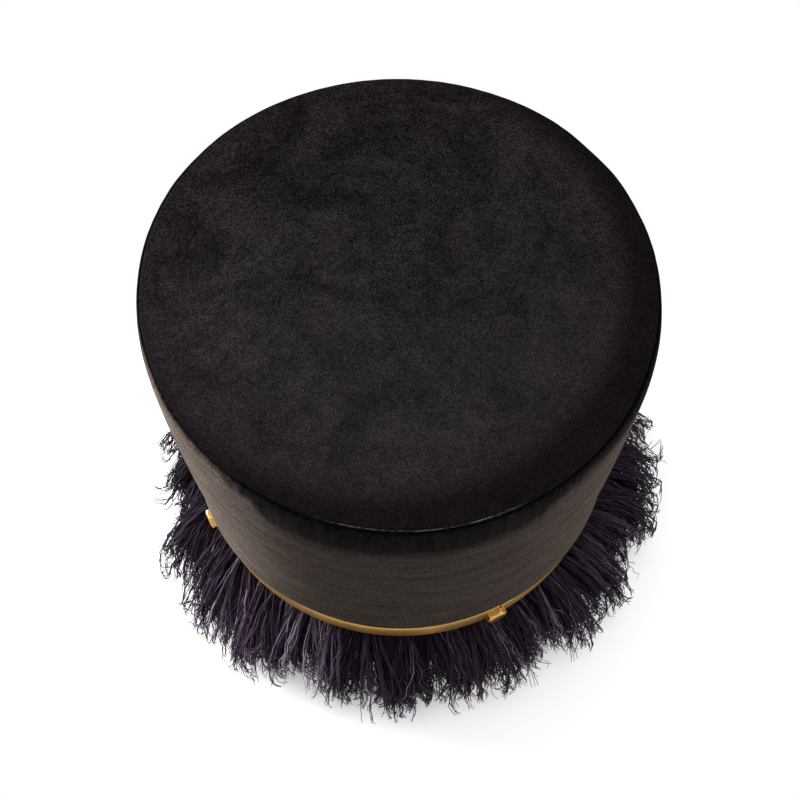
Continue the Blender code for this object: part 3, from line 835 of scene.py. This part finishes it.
def build_side(settings, material):
    """The side panel: a sleeve from the seam down behind the band, fullest just below the seam."""
    lip = settings.lip
    turns = np.arange(AROUND) * math.tau / AROUND
    edge = rim_line(turns, settings)
    draw = seam_draw(turns, settings)
    rng = np.random.default_rng(SEEDS["side"])
    slack = waves(turns, rng, 3, 3, 8)
    ripples = waves(turns, rng, 5, 8, 26)
    heights, radii = side_line(seam_height - settings.shoulder)
    rim_shape = swells(turns, RIM_UNEVEN)
    swelling = settings.overhang * (1.0 + 0.35 * np.cos(4 * (turns - SWELL_PEAK)))

    def shaped(height, radius):
        """A row of the side at this height, with its unevenness and slack."""
        depth = seam_height - height
        fading = math.exp(-depth / RIM_FADE)
        held = min(max((height - band_high) / BAND_HOLD, 0.0), 1.0)
        above = max((height - band_high) / settings.overhang_height, 0.0)
        swell = swelling * above * math.exp(1.0 - above)
        loose = 0.25 * MILLIMETRE * slack * math.exp(-depth / SLACK_FADE)
        loose = loose + 0.18 * MILLIMETRE * ripples * fading
        gathers = draw * math.exp(-depth / GATHER_FADE)
        moved = rim_shape * fading + loose - gathers - dent_at(turns, height, settings)
        return radius + swell + held * moved

    # Out from the rim and up from the seam, in lips: up out of the groove and over the side's fold
    fold = [(-3.3, -1.75), (-0.95, -1.6), (-0.05, -1.1), (0.35, -0.35), (0.85, 0.0), (1.4, -0.15)]
    rows = [(seam_height + up * lip, edge + across * lip) for across, up in fold]
    rim = seam_radius + settings.spread + 1.4 * lip
    for share in SHOULDER_STEPS:
        out = math.sqrt(1 - (1 - share) ** 2)
        height = seam_height - 0.3 * lip - (settings.shoulder - 0.3 * lip) * share
        rows.append((height, shaped(height, rim + (radii[0] - rim) * out)))
    first = len(rows)
    rows += [(height, shaped(height, radius)) for height, radius in zip(heights, radii)]
    rows += [
        (heights[-1] - lip / 2, radii[-1] - lip / 2),
        (heights[-1], sleeve_inner),
        (cushion_bottom - lip, sleeve_inner),
        (cushion_bottom - lip, cushion_radius + lip / 3),
        (seam_height - 3 * lip, cushion_radius + lip / 3),
    ]
    points = [polar(radius, turns, height) for height, radius in rows]
    last = first + int((heights > band_high).sum())
    free = np.concatenate(points[first:last])
    patch = grid_quads(last - first, AROUND, close_columns=True)
    sewn = [*range(AROUND), *range(len(free) - AROUND, len(free))]
    free = settle(free, patch, sewn, settings, settings.side_settle)
    points[first:last] = list(free.reshape(-1, AROUND, 3))
    faces = grid_quads(len(rows), AROUND, close_rows=True, close_columns=True)
    mesh = shell_of("side_cover", np.concatenate(points), faces)
    made = add_piece("side_cover", mesh, material, ("cover_side_panel", "side_foam"), smooth=True)


def rounded_section(low, high, edge, steps=3):
    """A closed rectangle with eased corners, as (across, up) points counted anticlockwise."""
    points = []
    centres = [(high[0], low[1], -90), (high[0], high[1], 0), (low[0], high[1], 90), (low[0], low[1], 180)]
    for x, z, start in centres:
        inward = (-edge if x == high[0] else edge, -edge if z == high[1] else edge)
        for step in range(steps + 1):
            turn = math.radians(start + 90 * step / steps)
            points.append((x + inward[0] + edge * math.cos(turn), z + inward[1] + edge * math.sin(turn)))
    return np.array(points)


def stud_angle(node):
    """Where a bolt stands round the band."""
    centre = points_of(node).mean(0)
    return math.atan2(centre[1], centre[0])


def joint_angle():
    """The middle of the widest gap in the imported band's outer face: where its two ends meet."""
    points = points_of("rim_band")
    turns = np.arctan2(points[:, 1], points[:, 0])
    studs = [stud_angle(node) for node in four("stud_bolt")]
    front = min(studs, key=lambda angle: abs(angle + math.pi / 2 - JOINT_BOLT))
    ends = np.unique(np.round(turns[(turns > front) & (turns < front + JOINT_WITHIN)], 4))
    gap = JOINT_GAP / band_outer
    for first, second in zip(ends, ends[1:]):
        if 0.7 * gap < second - first < 1.4 * gap:
            return (first + second) / 2
    raise RuntimeError("the packed band has no joint beside its front bolt")


def oval(turn, settings):
    """How far the bent band stands out at this angle: a little more at its front and back."""
    return -settings.oval * np.cos(2 * turn)


def build_band(settings, material):
    """The bent brass strip, its two ends a hair apart and one sprung out."""
    section = rounded_section((band_inner, band_low), (band_outer, band_high), settings.edge)
    joint = joint_angle()
    half_gap = settings.joint_gap / band_outer / 2
    turns = np.linspace(joint + half_gap, joint + math.tau - half_gap, BAND_STEPS)[:, None]
    from_end = (turns - turns[0]) * band_outer
    spring = settings.joint_spring * np.exp(-from_end / SPRING_REACH) + oval(turns, settings)
    drop = 0.5 * settings.joint_spring * np.exp(-from_end / DROP_REACH)
    points = polar(section[:, 0] + spring, turns, section[:, 1] - drop).reshape(-1, 3)
    index = np.arange(len(points)).reshape(BAND_STEPS, -1)
    faces = grid_quads(BAND_STEPS, len(section), close_columns=True).tolist()
    faces += [index[0].tolist(), index[-1, ::-1].tolist()]
    mesh = shell_of("brass_band", points, faces, crease=50)
    add_piece("brass_band", mesh, material, ("rim_band",))


def hexagon_radius(turn, flats, ease):
    """The reach of a hexagon with eased corners in this direction."""
    into = (turn + math.pi / 6) % (math.pi / 3) - math.pi / 6
    return np.minimum(flats / 2 / np.cos(into), flats / math.sqrt(3) - ease)


def build_studs(settings, material):
    """Bolt heads with a conical chamfer round a flat face, one for each packed bolt."""
    for number, node in enumerate(four("stud_bolt"), start=1):
        angle = stud_angle(node)
        # The head's own X runs round the band, its Y up the band and its Z out of it
        around = np.array([-math.sin(angle), math.cos(angle), 0.0])
        outward = np.array([math.cos(angle), math.sin(angle), 0.0])
        points = points_of(node)
        out = points @ outward
        rim = points[out > out.max() - 3 * MILLIMETRE]
        side, up = rim @ around, rim[:, 2] - stud_height
        far = np.hypot(side, up)
        corner = int(far.argmax())
        turned = math.atan2(up[corner], side[corner]) + math.pi / 6
        mesh = stud_mesh(settings, far[corner] * math.sqrt(3), out.max() - band_outer)
        seat = outward * (band_outer + oval(angle, settings)) + UP * stud_height
        axes = Matrix([Vector(axis) for axis in (around, UP, outward)]).transposed().to_4x4()
        place = Matrix.Translation(Vector(seat)) @ axes @ Matrix.Rotation(turned, 4, "Z")
        add_piece(f"stud_head_{number}", mesh, material, (node,), place=place)


def stud_mesh(settings, flats, height):
    """A bolt head on its own axes, this wide across its flats and this high."""
    edge = settings.bolt_edge
    face = settings.face_share * flats / 2
    slope = math.tan(settings.chamfer_angle)
    turns = np.arange(STUD_STEPS) * math.tau / STUD_STEPS
    reach = hexagon_radius(turns, flats, edge)
    brow = height - (reach - face) * slope
    # From inside the foot, up the flats, over the chamfer and in across the face
    columns = [
        (0.5 * reach, 0.0),
        (reach, 0.0),
        (reach, 0.3 * edge),
        (reach, brow - 1.6 * edge),
        (reach, brow - edge),
        (reach - 0.3 * edge, brow - 0.3 * edge),
        (reach - edge, brow + 0.6 * edge * slope),
        (face + 0.5 * edge, height - 0.5 * edge * slope),
        (face - 0.5 * edge, height),
        (face - 1.2 * edge, height),
        (0.5 * face, height),
    ]
    points = np.stack([polar(radius, turns, up) for radius, up in columns], 1).reshape(-1, 3)
    index = np.arange(len(points)).reshape(STUD_STEPS, -1)
    faces = grid_quads(STUD_STEPS, len(columns), close_rows=True).tolist()
    faces += [index[:, 0].tolist(), index[::-1, -1].tolist()]
    return shell_of("stud_head", points, faces, crease=25)


def unit(vectors):
    """The same directions, each one long."""
    return vectors / np.maximum(np.linalg.norm(vectors, axis=-1, keepdims=True), 1e-12)


def turned_towards(way, axis, angle):
    """Unit vectors turned about unit axes by angles."""
    cosine = np.cos(angle)[:, None]
    sine = np.sin(angle)[:, None]
    along = (way * axis).sum(1, keepdims=True)
    return unit(way * cosine + np.cross(axis, way) * sine + axis * along * (1 - cosine))


def drift(angle, what, low, high):
    """A smooth wave round the fringe, the same for every slice."""
    return waves(angle, np.random.default_rng(SEEDS[what]), 5, low, high)


def lock_shapes(settings, rng, slice_start, slice_angle):
    """Root, heading, length, bends and tone of every lock of a slice."""
    counts = (settings.locks, settings.downs, settings.strays)
    number = sum(counts)
    down = np.repeat((False, True, False), counts)
    stray = np.repeat((False, False, True), counts)
    order = np.concatenate([np.arange(count) / max(count, 1) for count in counts])
    place = order + rng.uniform(-0.4, 1.4, number) / np.repeat(np.maximum(counts, 1), counts)
    turn = slice_start + slice_angle * place
    row = np.where(down, 4, np.where(stray, rng.integers(0, 4, number), rng.permutation(number) % 5))

    # The locks of a row lean together in tufts
    tuft = place * TUFTS + 0.37 * row
    middle = np.floor(tuft) + 0.5 + 0.3 * np.sin(np.floor(tuft) * 12.9 + row * 4.1 + slice_start * 7.0)
    gather = (middle - tuft) / TUFTS * slice_angle * 1.2
    height = band_low - 2.0 * MILLIMETRE - ROW_STEP * row
    row_dip = np.array(ROW_DIPS)[row] + 8.0 * drift(turn, "dip", 8, 40)
    lock = {
        "turn": turn,
        "height": height + rng.normal(0, 1.0, number) * MILLIMETRE,
        "dip": np.radians(row_dip + rng.normal(0, 6, number)),
        "lean": gather + np.radians(11.0 * drift(turn, "lean", 14, 50) + rng.normal(0, 9, number)),
        "final_dip": np.radians(rng.normal(80, 8, number)),
        "hook": settings.hook * rng.random(number) ** 1.4,
        "hook_start": rng.uniform(0.66, 0.90, number),
        "hook_plane": rng.uniform(0, math.tau, number),
        "sway": rng.normal(0, 2.2, number) * MILLIMETRE,
        "sway_rate": rng.uniform(3.0, 7.0, number),
        "sway_phase": rng.uniform(0, math.tau, number),
        "kink": rng.normal(0, 1.4, number) * MILLIMETRE,
        "kink_rate": rng.uniform(10.0, 22.0, number),
        "tone": np.clip(rng.beta(2.6, 6.6, number) + 0.08 * drift(turn, "tone", 20, 70), 0.0, 1.0),
        "down": down,
        "stray": stray,
    }

    # Painted light and shade: the barbs are painted palest to the front left, less pale to the front right,
    # less again at the front, and darkest at the flanks and the back; the down under them is dark
    near_side = np.clip(-np.sin(turn), 0.0, 1.0) ** 1.5
    painted_light_by_side = 0.45 + near_side * (0.50 + 1.95 * np.abs(np.cos(turn)) - 0.65 * np.cos(turn))
    lock["tone"] *= np.where(down, 0.1, 1.0) * painted_light_by_side
    leftward = np.clip(-np.cos(turn - math.radians(5)), 0.0, 1.0)
    lock["lean"] += math.radians(8) + math.radians(30) * leftward**2
    reach = settings.length * np.array(ROW_LENGTHS)[row] * (1.0 + swells(turn, SIDE_REACH))
    reach = reach * rng.uniform(0.72, 1.04, number) * np.where(down, 0.72, 1.0)
    lock["length"] = reach * (1.0 + 0.03 * drift(turn, "length", 12, 40) + 0.10 * stray)
    return lock


def barb_shapes(settings, rng, lock):
    """The barbs of every lock: each a little apart from its lock, and its forks more so."""
    counts = np.where(lock["stray"] | lock["down"], 1, settings.barbs + settings.forks)
    owner = np.repeat(np.arange(len(counts)), counts)
    total = len(owner)
    barb = {name: values[owner] for name, values in lock.items()}
    fork = np.arange(total) - np.repeat(np.cumsum(counts) - counts, counts) >= settings.barbs
    apart = np.where(fork, FORK_SPREAD, 1.0)
    barb["fork"] = fork
    barb["turn"] += rng.normal(0, 0.003, total)
    barb["lean"] += np.radians(rng.normal(0, 0.5, total)) * apart
    barb["dip"] += np.radians(rng.normal(0, 0.5, total)) * apart
    barb["dip"] = np.maximum(barb["dip"], np.radians(1))
    barb["length"] *= np.where(fork, rng.uniform(0.72, 1.0, total), rng.uniform(0.96, 1.01, total))
    barb["hook_plane"] += rng.normal(0, 0.1, total) + np.where(fork, rng.normal(0, 1.0, total), 0.0)
    barb["hook_start"] = np.clip(barb["hook_start"] + rng.normal(0, 0.015, total), 0.5, 0.95)
    barb["hook"] *= np.where(fork, rng.uniform(0.4, 1.2, total), 1.0) / (1.0 - barb["hook_start"])
    return barb


def bent_paths(barb, outward, across):
    """Each barb's middle line from the wall: it bends down along its length, and its tip hooks."""
    dip, lean, plane = barb["dip"], barb["lean"], barb["hook_plane"]
    way = unit(
        outward * (np.cos(dip) * np.cos(lean))[:, None]
        + across * (np.cos(dip) * np.sin(lean))[:, None]
        - UP * np.sin(dip)[:, None]
    )
    here = outward * (wall_radius + 4.0 * MILLIMETRE) + UP * barb["height"][:, None]
    points = [here]
    for first, second in zip(MARKS, MARKS[1:]):
        share = second - first
        bend = (barb["final_dip"] - dip) * share
        level = unit(np.cross(way, UP) + 1e-9)
        way = turned_towards(way, level, -np.maximum(bend, 0.0))
        hooked = np.clip((second - barb["hook_start"]) / share, 0, 1) * barb["hook"] * share
        other = unit(np.cross(way, level))
        axis = level * np.cos(plane)[:, None] + other * np.sin(plane)[:, None]
        way = turned_towards(way, axis, np.minimum(hooked, 0.9))
        here = here + way * (barb["length"] * share)[:, None]
        points.append(here)
    return np.stack(points, 1)


def barb_paths(settings, rng, slice_start, slice_angle):
    """The middle line, thickness and tone of every barb of a slice of the fringe."""
    barb = barb_shapes(settings, rng, lock_shapes(settings, rng, slice_start, slice_angle))
    single, fork = barb["stray"] | barb["down"], barb["fork"]
    total = len(fork)
    outward = polar(1.0, barb["turn"], 0.0)
    across = np.cross(UP, outward)
    path = bent_paths(barb, outward, across)

    # A lock sways as one; its barbs part soon after the root and close again to a point
    along = MARKS[None]
    phase = barb["sway_phase"][:, None] + barb["sway_rate"][:, None] * along
    sway = barb["sway"][:, None] * (np.sin(phase) - np.sin(barb["sway_phase"])[:, None]) * along**0.7
    kink = barb["kink"][:, None] * np.sin(barb["kink_rate"][:, None] * along + phase) * along**0.5
    spread = np.where(single, 0.0, settings.lock_width)
    offset = np.clip(rng.normal(0, 0.34, (total, 2)), -1, 1) * spread[:, None]
    closing = 0.08 + 0.92 * np.clip(1.0 - along, 0, 1) ** 0.9
    part = np.clip(along / 0.15, 0.0, 1.0) * closing

    # A fork leaves its lock on the way and ends beside it
    leave_at = rng.uniform(0.35, 0.8, (total, 1))
    leave = np.where(fork, 1.0, 0.0)[:, None] * np.clip(along - leave_at, 0.0, 1.0) ** 0.8
    leave_way = rng.uniform(-1, 1, (total, 2)) * FORK_REACH
    sideways = offset[:, :1] * part + sway + kink + leave_way[:, :1] * leave
    frizz = rng.normal(0, settings.frizz, (total, len(MARKS), 3)) * along[..., None] ** 0.7
    path += across[:, None, :] * sideways[..., None] + frizz
    path[:, :, 2] += (offset[:, 1:] * part + leave_way[:, 1:] * leave) * 0.6

    # The longest barbs are held in, and the lowest lie just above the floor
    radius = np.hypot(path[:, :, 0], path[:, :, 1])
    held = np.minimum(radius, FULL_REACH + FURTHER_SHARE * (radius - FULL_REACH)) / radius
    path[:, :, :2] *= held[..., None]
    lowest = FLOOR_GAP + FLOOR_GAP_SPREAD * rng.random((total, 1))
    below = lowest - path[:, :, 2]
    path[:, :, 2] = np.where(below > 0.0, lowest + 0.15 * below, path[:, :, 2])

    full = settings.thickness * rng.uniform(0.75, 1.25, total) * np.where(barb["stray"] | fork, 0.8, 1.0)
    full = full * np.where(barb["down"], 2.7, 1.0)
    thickness = full[:, None] * (1.0 - 0.10 * along - 0.40 * along**12)
    tone = barb["tone"] + rng.normal(0, 0.14, total) * np.where(barb["down"], 0.2, 1.0)
    return path, thickness, np.clip(tone, 0.01, 0.98)


def barb_mesh(name, path, thickness, tone):
    """Closed three-sided tubes round each path, with a map that holds each barb's tone and its length."""
    total, rings, _ = path.shape
    way = unit(np.gradient(path, axis=1))
    normal = unit(np.cross(way[:, 0], UP) + 1e-6)
    corners = np.empty((total, rings, 3, 3), np.float32)
    for step in range(rings):
        normal = unit(normal - way[:, step] * (normal * way[:, step]).sum(1, keepdims=True))
        other = np.cross(way[:, step], normal)
        for corner in range(3):
            turn = math.tau * corner / 3
            out = normal * math.cos(turn) + other * math.sin(turn)
            corners[:, step, corner] = path[:, step] + out * thickness[:, step, None]
    index = np.arange(total * rings * 3, dtype=np.int32).reshape(total, rings, 3)
    after = np.roll(index, -1, axis=2)
    sides = np.stack([index[:, :-1], after[:, :-1], after[:, 1:], index[:, 1:]], -1)
    loops = np.concatenate([sides.ravel(), index[:, 0, ::-1].ravel(), index[:, -1].ravel()])
    sizes = np.repeat([4, 3], [total * (rings - 1) * 3, 2 * total])
    starts = np.concatenate([[0], np.cumsum(sizes)[:-1]])
    mesh = bpy.data.meshes.new(name)
    mesh.vertices.add(corners.size // 3)
    mesh.vertices.foreach_set("co", corners.ravel())
    mesh.loops.add(len(loops))
    mesh.loops.foreach_set("vertex_index", loops.astype(np.int32))
    mesh.polygons.add(len(sizes))
    mesh.polygons.foreach_set("loop_start", starts.astype(np.int32))
    mesh.polygons.foreach_set("use_smooth", np.ones(len(sizes), bool))
    mesh.update(calc_edges=True)

    # The map: across is the barb's tone, up is the way along it
    width = 0.004
    left = np.broadcast_to(tone[:, None, None] - width, (total, rings - 1, 3))
    right = left + 2 * width
    under, over = (
        np.broadcast_to(marks[None, :, None], left.shape) * 0.98 + 0.01 for marks in (MARKS[:-1], MARKS[1:])
    )
    around = [(left, under), (right, under), (right, over), (left, over)]
    places = [np.stack([np.stack(corner, -1) for corner in around], 3).ravel()]
    for height in (0.01, 0.98):
        end = [(tone - width, height), (tone + width, height), (tone, height + 0.008)]
        places.append(np.stack([np.stack(np.broadcast_arrays(*corner), -1) for corner in end], 1).ravel())
    layer = mesh.uv_layers.new(name="OFBake")
    layer.uv.foreach_set("vector", np.concatenate(places).astype(np.float32))
    mesh.validate()
    return mesh


def build_fringe(settings, material):
    """The feathers of each slice of the fringe."""
    slice_angle = math.tau / SLICES
    for number in range(1, SLICES + 1):
        name, node = f"feathers_{number:02d}", f"fringe_{number:02d}"
        centre = points_of(node).mean(0)
        start = math.atan2(centre[1], centre[0]) - slice_angle / 2
        rng = np.random.default_rng(SEEDS["fringe"] + number)
        mesh = barb_mesh(name, *barb_paths(settings, rng, start, slice_angle))
        add_piece(name, mesh, material, (node,))


def build_tape(material):
    """The woven heading tape that the barbs are sewn into, round the foot of the wall."""
    inner = radii_of("fringe_01")[0]
    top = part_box("fringe_01")[1].z
    low, high = (inner, top - TAPE_HEIGHT), (inner + TAPE_THICKNESS, top)
    section = rounded_section(low, high, 0.6 * MILLIMETRE)
    step = np.arange(TAPE_STEPS)[:, None]
    ridge = TAPE_RIB * (step % 2)
    points = polar(section[:, 0] + ridge, step * math.tau / TAPE_STEPS, section[:, 1]).reshape(-1, 3)
    faces = grid_quads(TAPE_STEPS, len(section), close_rows=True, close_columns=True)
    add_piece("heading_tape", shell_of("heading_tape", points, faces), material)


def build_dust_cloth(material):
    """The non-woven cloth under the base, drawn tight round its edge and slack in the middle."""
    low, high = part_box("dust_cloth")
    share, angle, quads = disc_grid(CLOTH_RINGS)
    ripple = 0.2 * MILLIMETRE * np.sin(9 * angle + 14 * share) * share * (1 - share) * 4
    slack = ripple - 0.9 * MILLIMETRE * (1 - share**2)
    under = polar(cloth_radius * share, angle, low.z)
    for node in four("glide"):
        apart = under[:, :2] - points_of(node).mean(0)[:2]
        slack = slack * (1 - np.exp(-(apart**2).sum(1) / GLIDE_HOLD**2))
    under[:, 2] += slack
    upper = under + UP * (high.z - low.z)
    rim, _ = rim_order(share, angle)
    faces = np.concatenate([quads[:, ::-1], quads + len(under), ring_quads(rim, rim + len(under))])
    mesh = shell_of("dust_cover", np.concatenate([under, upper]), faces)
    made = add_piece("dust_cover", mesh, material, ("dust_cloth",))


def dress_nodes(names, material):
    """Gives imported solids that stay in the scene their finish."""
    for name in names:
        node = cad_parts[name]
        node.data.materials.clear()
        node.data.materials.append(material)


def add_lamp(name, place, size, power):
    """A round soft lamp aimed at the pouf."""
    lamp = bpy.data.lights.new(name, "AREA")
    lamp.shape = "DISK"
    lamp.size = size
    lamp.energy = power
    made = linked(name, lamp)
    made.location = place
    made.rotation_euler = (Vector(LAMP_TARGET) - made.location).to_track_quat("-Z", "Y").to_euler()


def floor_material(settings):
    """White paper: diffuse for the light, and partly plain white for the camera and for reflections."""
    finish = Finish("paper_floor")
    paper = finish.node("ShaderNodeBsdfDiffuse", inputs={"Color": (settings.floor_white,) * 3})
    glow = finish.node("ShaderNodeEmission")
    away = finish.step(finish.outward(), WHITE_FROM, WHITE_BEYOND)
    white = finish.seen() * (settings.floor_glow + (1.0 - settings.floor_glow) * away)
    finish.blend(white, paper, glow, "Material Output")
    finish.tree.nodes.remove(finish.shader)
    return finish.material


def build_floor(settings):
    """A plain pale floor that fills the view."""
    bm = bmesh.new()
    bmesh.ops.create_grid(bm, x_segments=8, y_segments=8, size=FLOOR_REACH)
    mesh = bpy.data.meshes.new("floor")
    bm.to_mesh(mesh)
    bm.free()
    mesh.materials.append(floor_material(settings))
    floor = linked("floor", mesh)


def build_sky(settings):
    """Even light from all round, which the camera sees as plain white."""
    world = bpy.data.worlds.new("white_studio")
    bpy.context.scene.world = world
    world.use_nodes = True
    studio = Graph(world.node_tree)
    background = world.node_tree.nodes["Background"]
    studio.feed(background.inputs["Color"], (1.0, 1.0, 1.0))
    studio.feed(background.inputs["Strength"], settings.sky)
    white = studio.node("ShaderNodeBackground", inputs={"Color": (1.0, 1.0, 1.0)})
    studio.blend(studio.seen(), Signal(studio, background.outputs[0]), white, "World Output")


def build_camera(settings):
    """The camera at the photograph's angle, rolled a little about its own axis."""
    camera = bpy.data.cameras.new("camera")
    camera.lens = settings.focal_length
    camera.sensor_width = SENSOR_WIDTH
    made = linked("camera", camera)
    pitch, roll = settings.camera_pitch, settings.camera_roll
    forward = Vector((0.0, math.cos(pitch), -math.sin(pitch)))
    right = Vector((1.0, 0.0, 0.0))
    upward = right.cross(forward)
    rolled_right = right * math.cos(roll) - upward * math.sin(roll)
    rolled_up = upward * math.cos(roll) + right * math.sin(roll)
    axes = Matrix((rolled_right, rolled_up, -forward)).transposed().to_4x4()
    made.matrix_world = Matrix.Translation(Vector(settings.camera_place)) @ axes
    bpy.context.scene.camera = made


class POUF_OT_cover(bpy.types.Operator):
    """Build the velvet seat cushion and side cover"""

    bl_idname = "pouf.cover"
    bl_label = "Velvet Cover"

    def execute(self, context):
        settings = context.scene.pouf_cover
        build_seat(settings, seat_velvet_finish(settings))
        build_side(settings, side_velvet_finish(settings))
        return {"FINISHED"}


class POUF_OT_brass(bpy.types.Operator):
    """Build the brass band and its bolt heads"""

    bl_idname = "pouf.brass"
    bl_label = "Brass Band and Bolts"

    def execute(self, context):
        settings = context.scene.pouf_brass
        build_band(settings, brass_finish("satin_brass", settings, settings.roughness))
        build_studs(settings, brass_finish("bolt_brass", settings, settings.bolt_roughness))
        return {"FINISHED"}


class POUF_OT_fringe(bpy.types.Operator):
    """Build the feather fringe and its heading tape"""

    bl_idname = "pouf.fringe"
    bl_label = "Feather Fringe"

    def execute(self, context):
        settings = context.scene.pouf_fringe
        build_fringe(settings, feather_finish(settings))
        build_tape(grained_finish("tape_weave"))
        return {"FINISHED"}


class POUF_OT_underside(bpy.types.Operator):
    """Finish the drum, its boards and fastenings, the glides and the dust cloth"""

    bl_idname = "pouf.underside"
    bl_label = "Drum and Underside"

    def execute(self, context):
        dress_nodes(["base_board", "seat_board"], grained_finish("birch_ply"))
        dress_nodes(four("upright"), grained_finish("pine_batten"))
        dress_nodes(["drum_wall"], grained_finish("black_fibreboard"))
        dress_nodes(four("glide"), grained_finish("glide_plastic"))
        dress_nodes([node for name in STEEL_PIECES for node in four(name)], steel_finish())
        build_dust_cloth(grained_finish("black_lining"))
        return {"FINISHED"}


class POUF_OT_stage(bpy.types.Operator):
    """Set the white floor, the soft lamps and the camera"""

    bl_idname = "pouf.stage"
    bl_label = "Studio and Camera"

    def execute(self, context):
        settings = context.scene.pouf_stage
        build_floor(settings)
        build_sky(settings)
        build_camera(settings)
        for name, lamp in LAMPS.items():
            add_lamp(name, *lamp)
        context.scene.view_settings.view_transform = "Standard"
        return {"FINISHED"}


class POUF_PT_panel(bpy.types.Panel):
    """The pouf's builders and settings, in the sidebar"""

    bl_label = "Feathered Velvet Pouf"
    bl_idname = "POUF_PT_panel"
    bl_space_type = "VIEW_3D"
    bl_region_type = "UI"
    bl_category = "Pouf"

    def draw(self, context):
        for operator, group in PANEL_ROWS:
            self.layout.operator(operator.bl_idname)
            if group:
                settings = getattr(context.scene, group)
                box = self.layout.box()
                for name in settings.bl_rna.properties.keys():
                    if name not in ("rna_type", "name"):
                        box.prop(settings, name)


PANEL_ROWS = (
    (POUF_OT_cover, "pouf_cover"),
    (POUF_OT_brass, "pouf_brass"),
    (POUF_OT_fringe, "pouf_fringe"),
    (POUF_OT_underside, None),
    (POUF_OT_stage, "pouf_stage"),
)
GROUPS = {
    "pouf_cover": CoverSettings,
    "pouf_brass": BrassSettings,
    "pouf_fringe": FringeSettings,
    "pouf_stage": StageSettings,
}
CLASSES = (*GROUPS.values(), *(operator for operator, _ in PANEL_ROWS), POUF_PT_panel)


def register():
    for kind in CLASSES:
        bpy.utils.register_class(kind)
    for name, kind in GROUPS.items():
        setattr(bpy.types.Scene, name, PointerProperty(type=kind))


def unregister():
    for name in GROUPS:
        delattr(bpy.types.Scene, name)
    for kind in reversed(CLASSES):
        bpy.utils.unregister_class(kind)


def main():
    register()
    bpy.ops.pouf.underside()
    bpy.ops.pouf.cover()
    bpy.ops.pouf.brass()
    bpy.ops.pouf.fringe()
    bpy.ops.pouf.stage()
    bpy.context.view_layer.update()


if __name__ == "__main__":
    main()
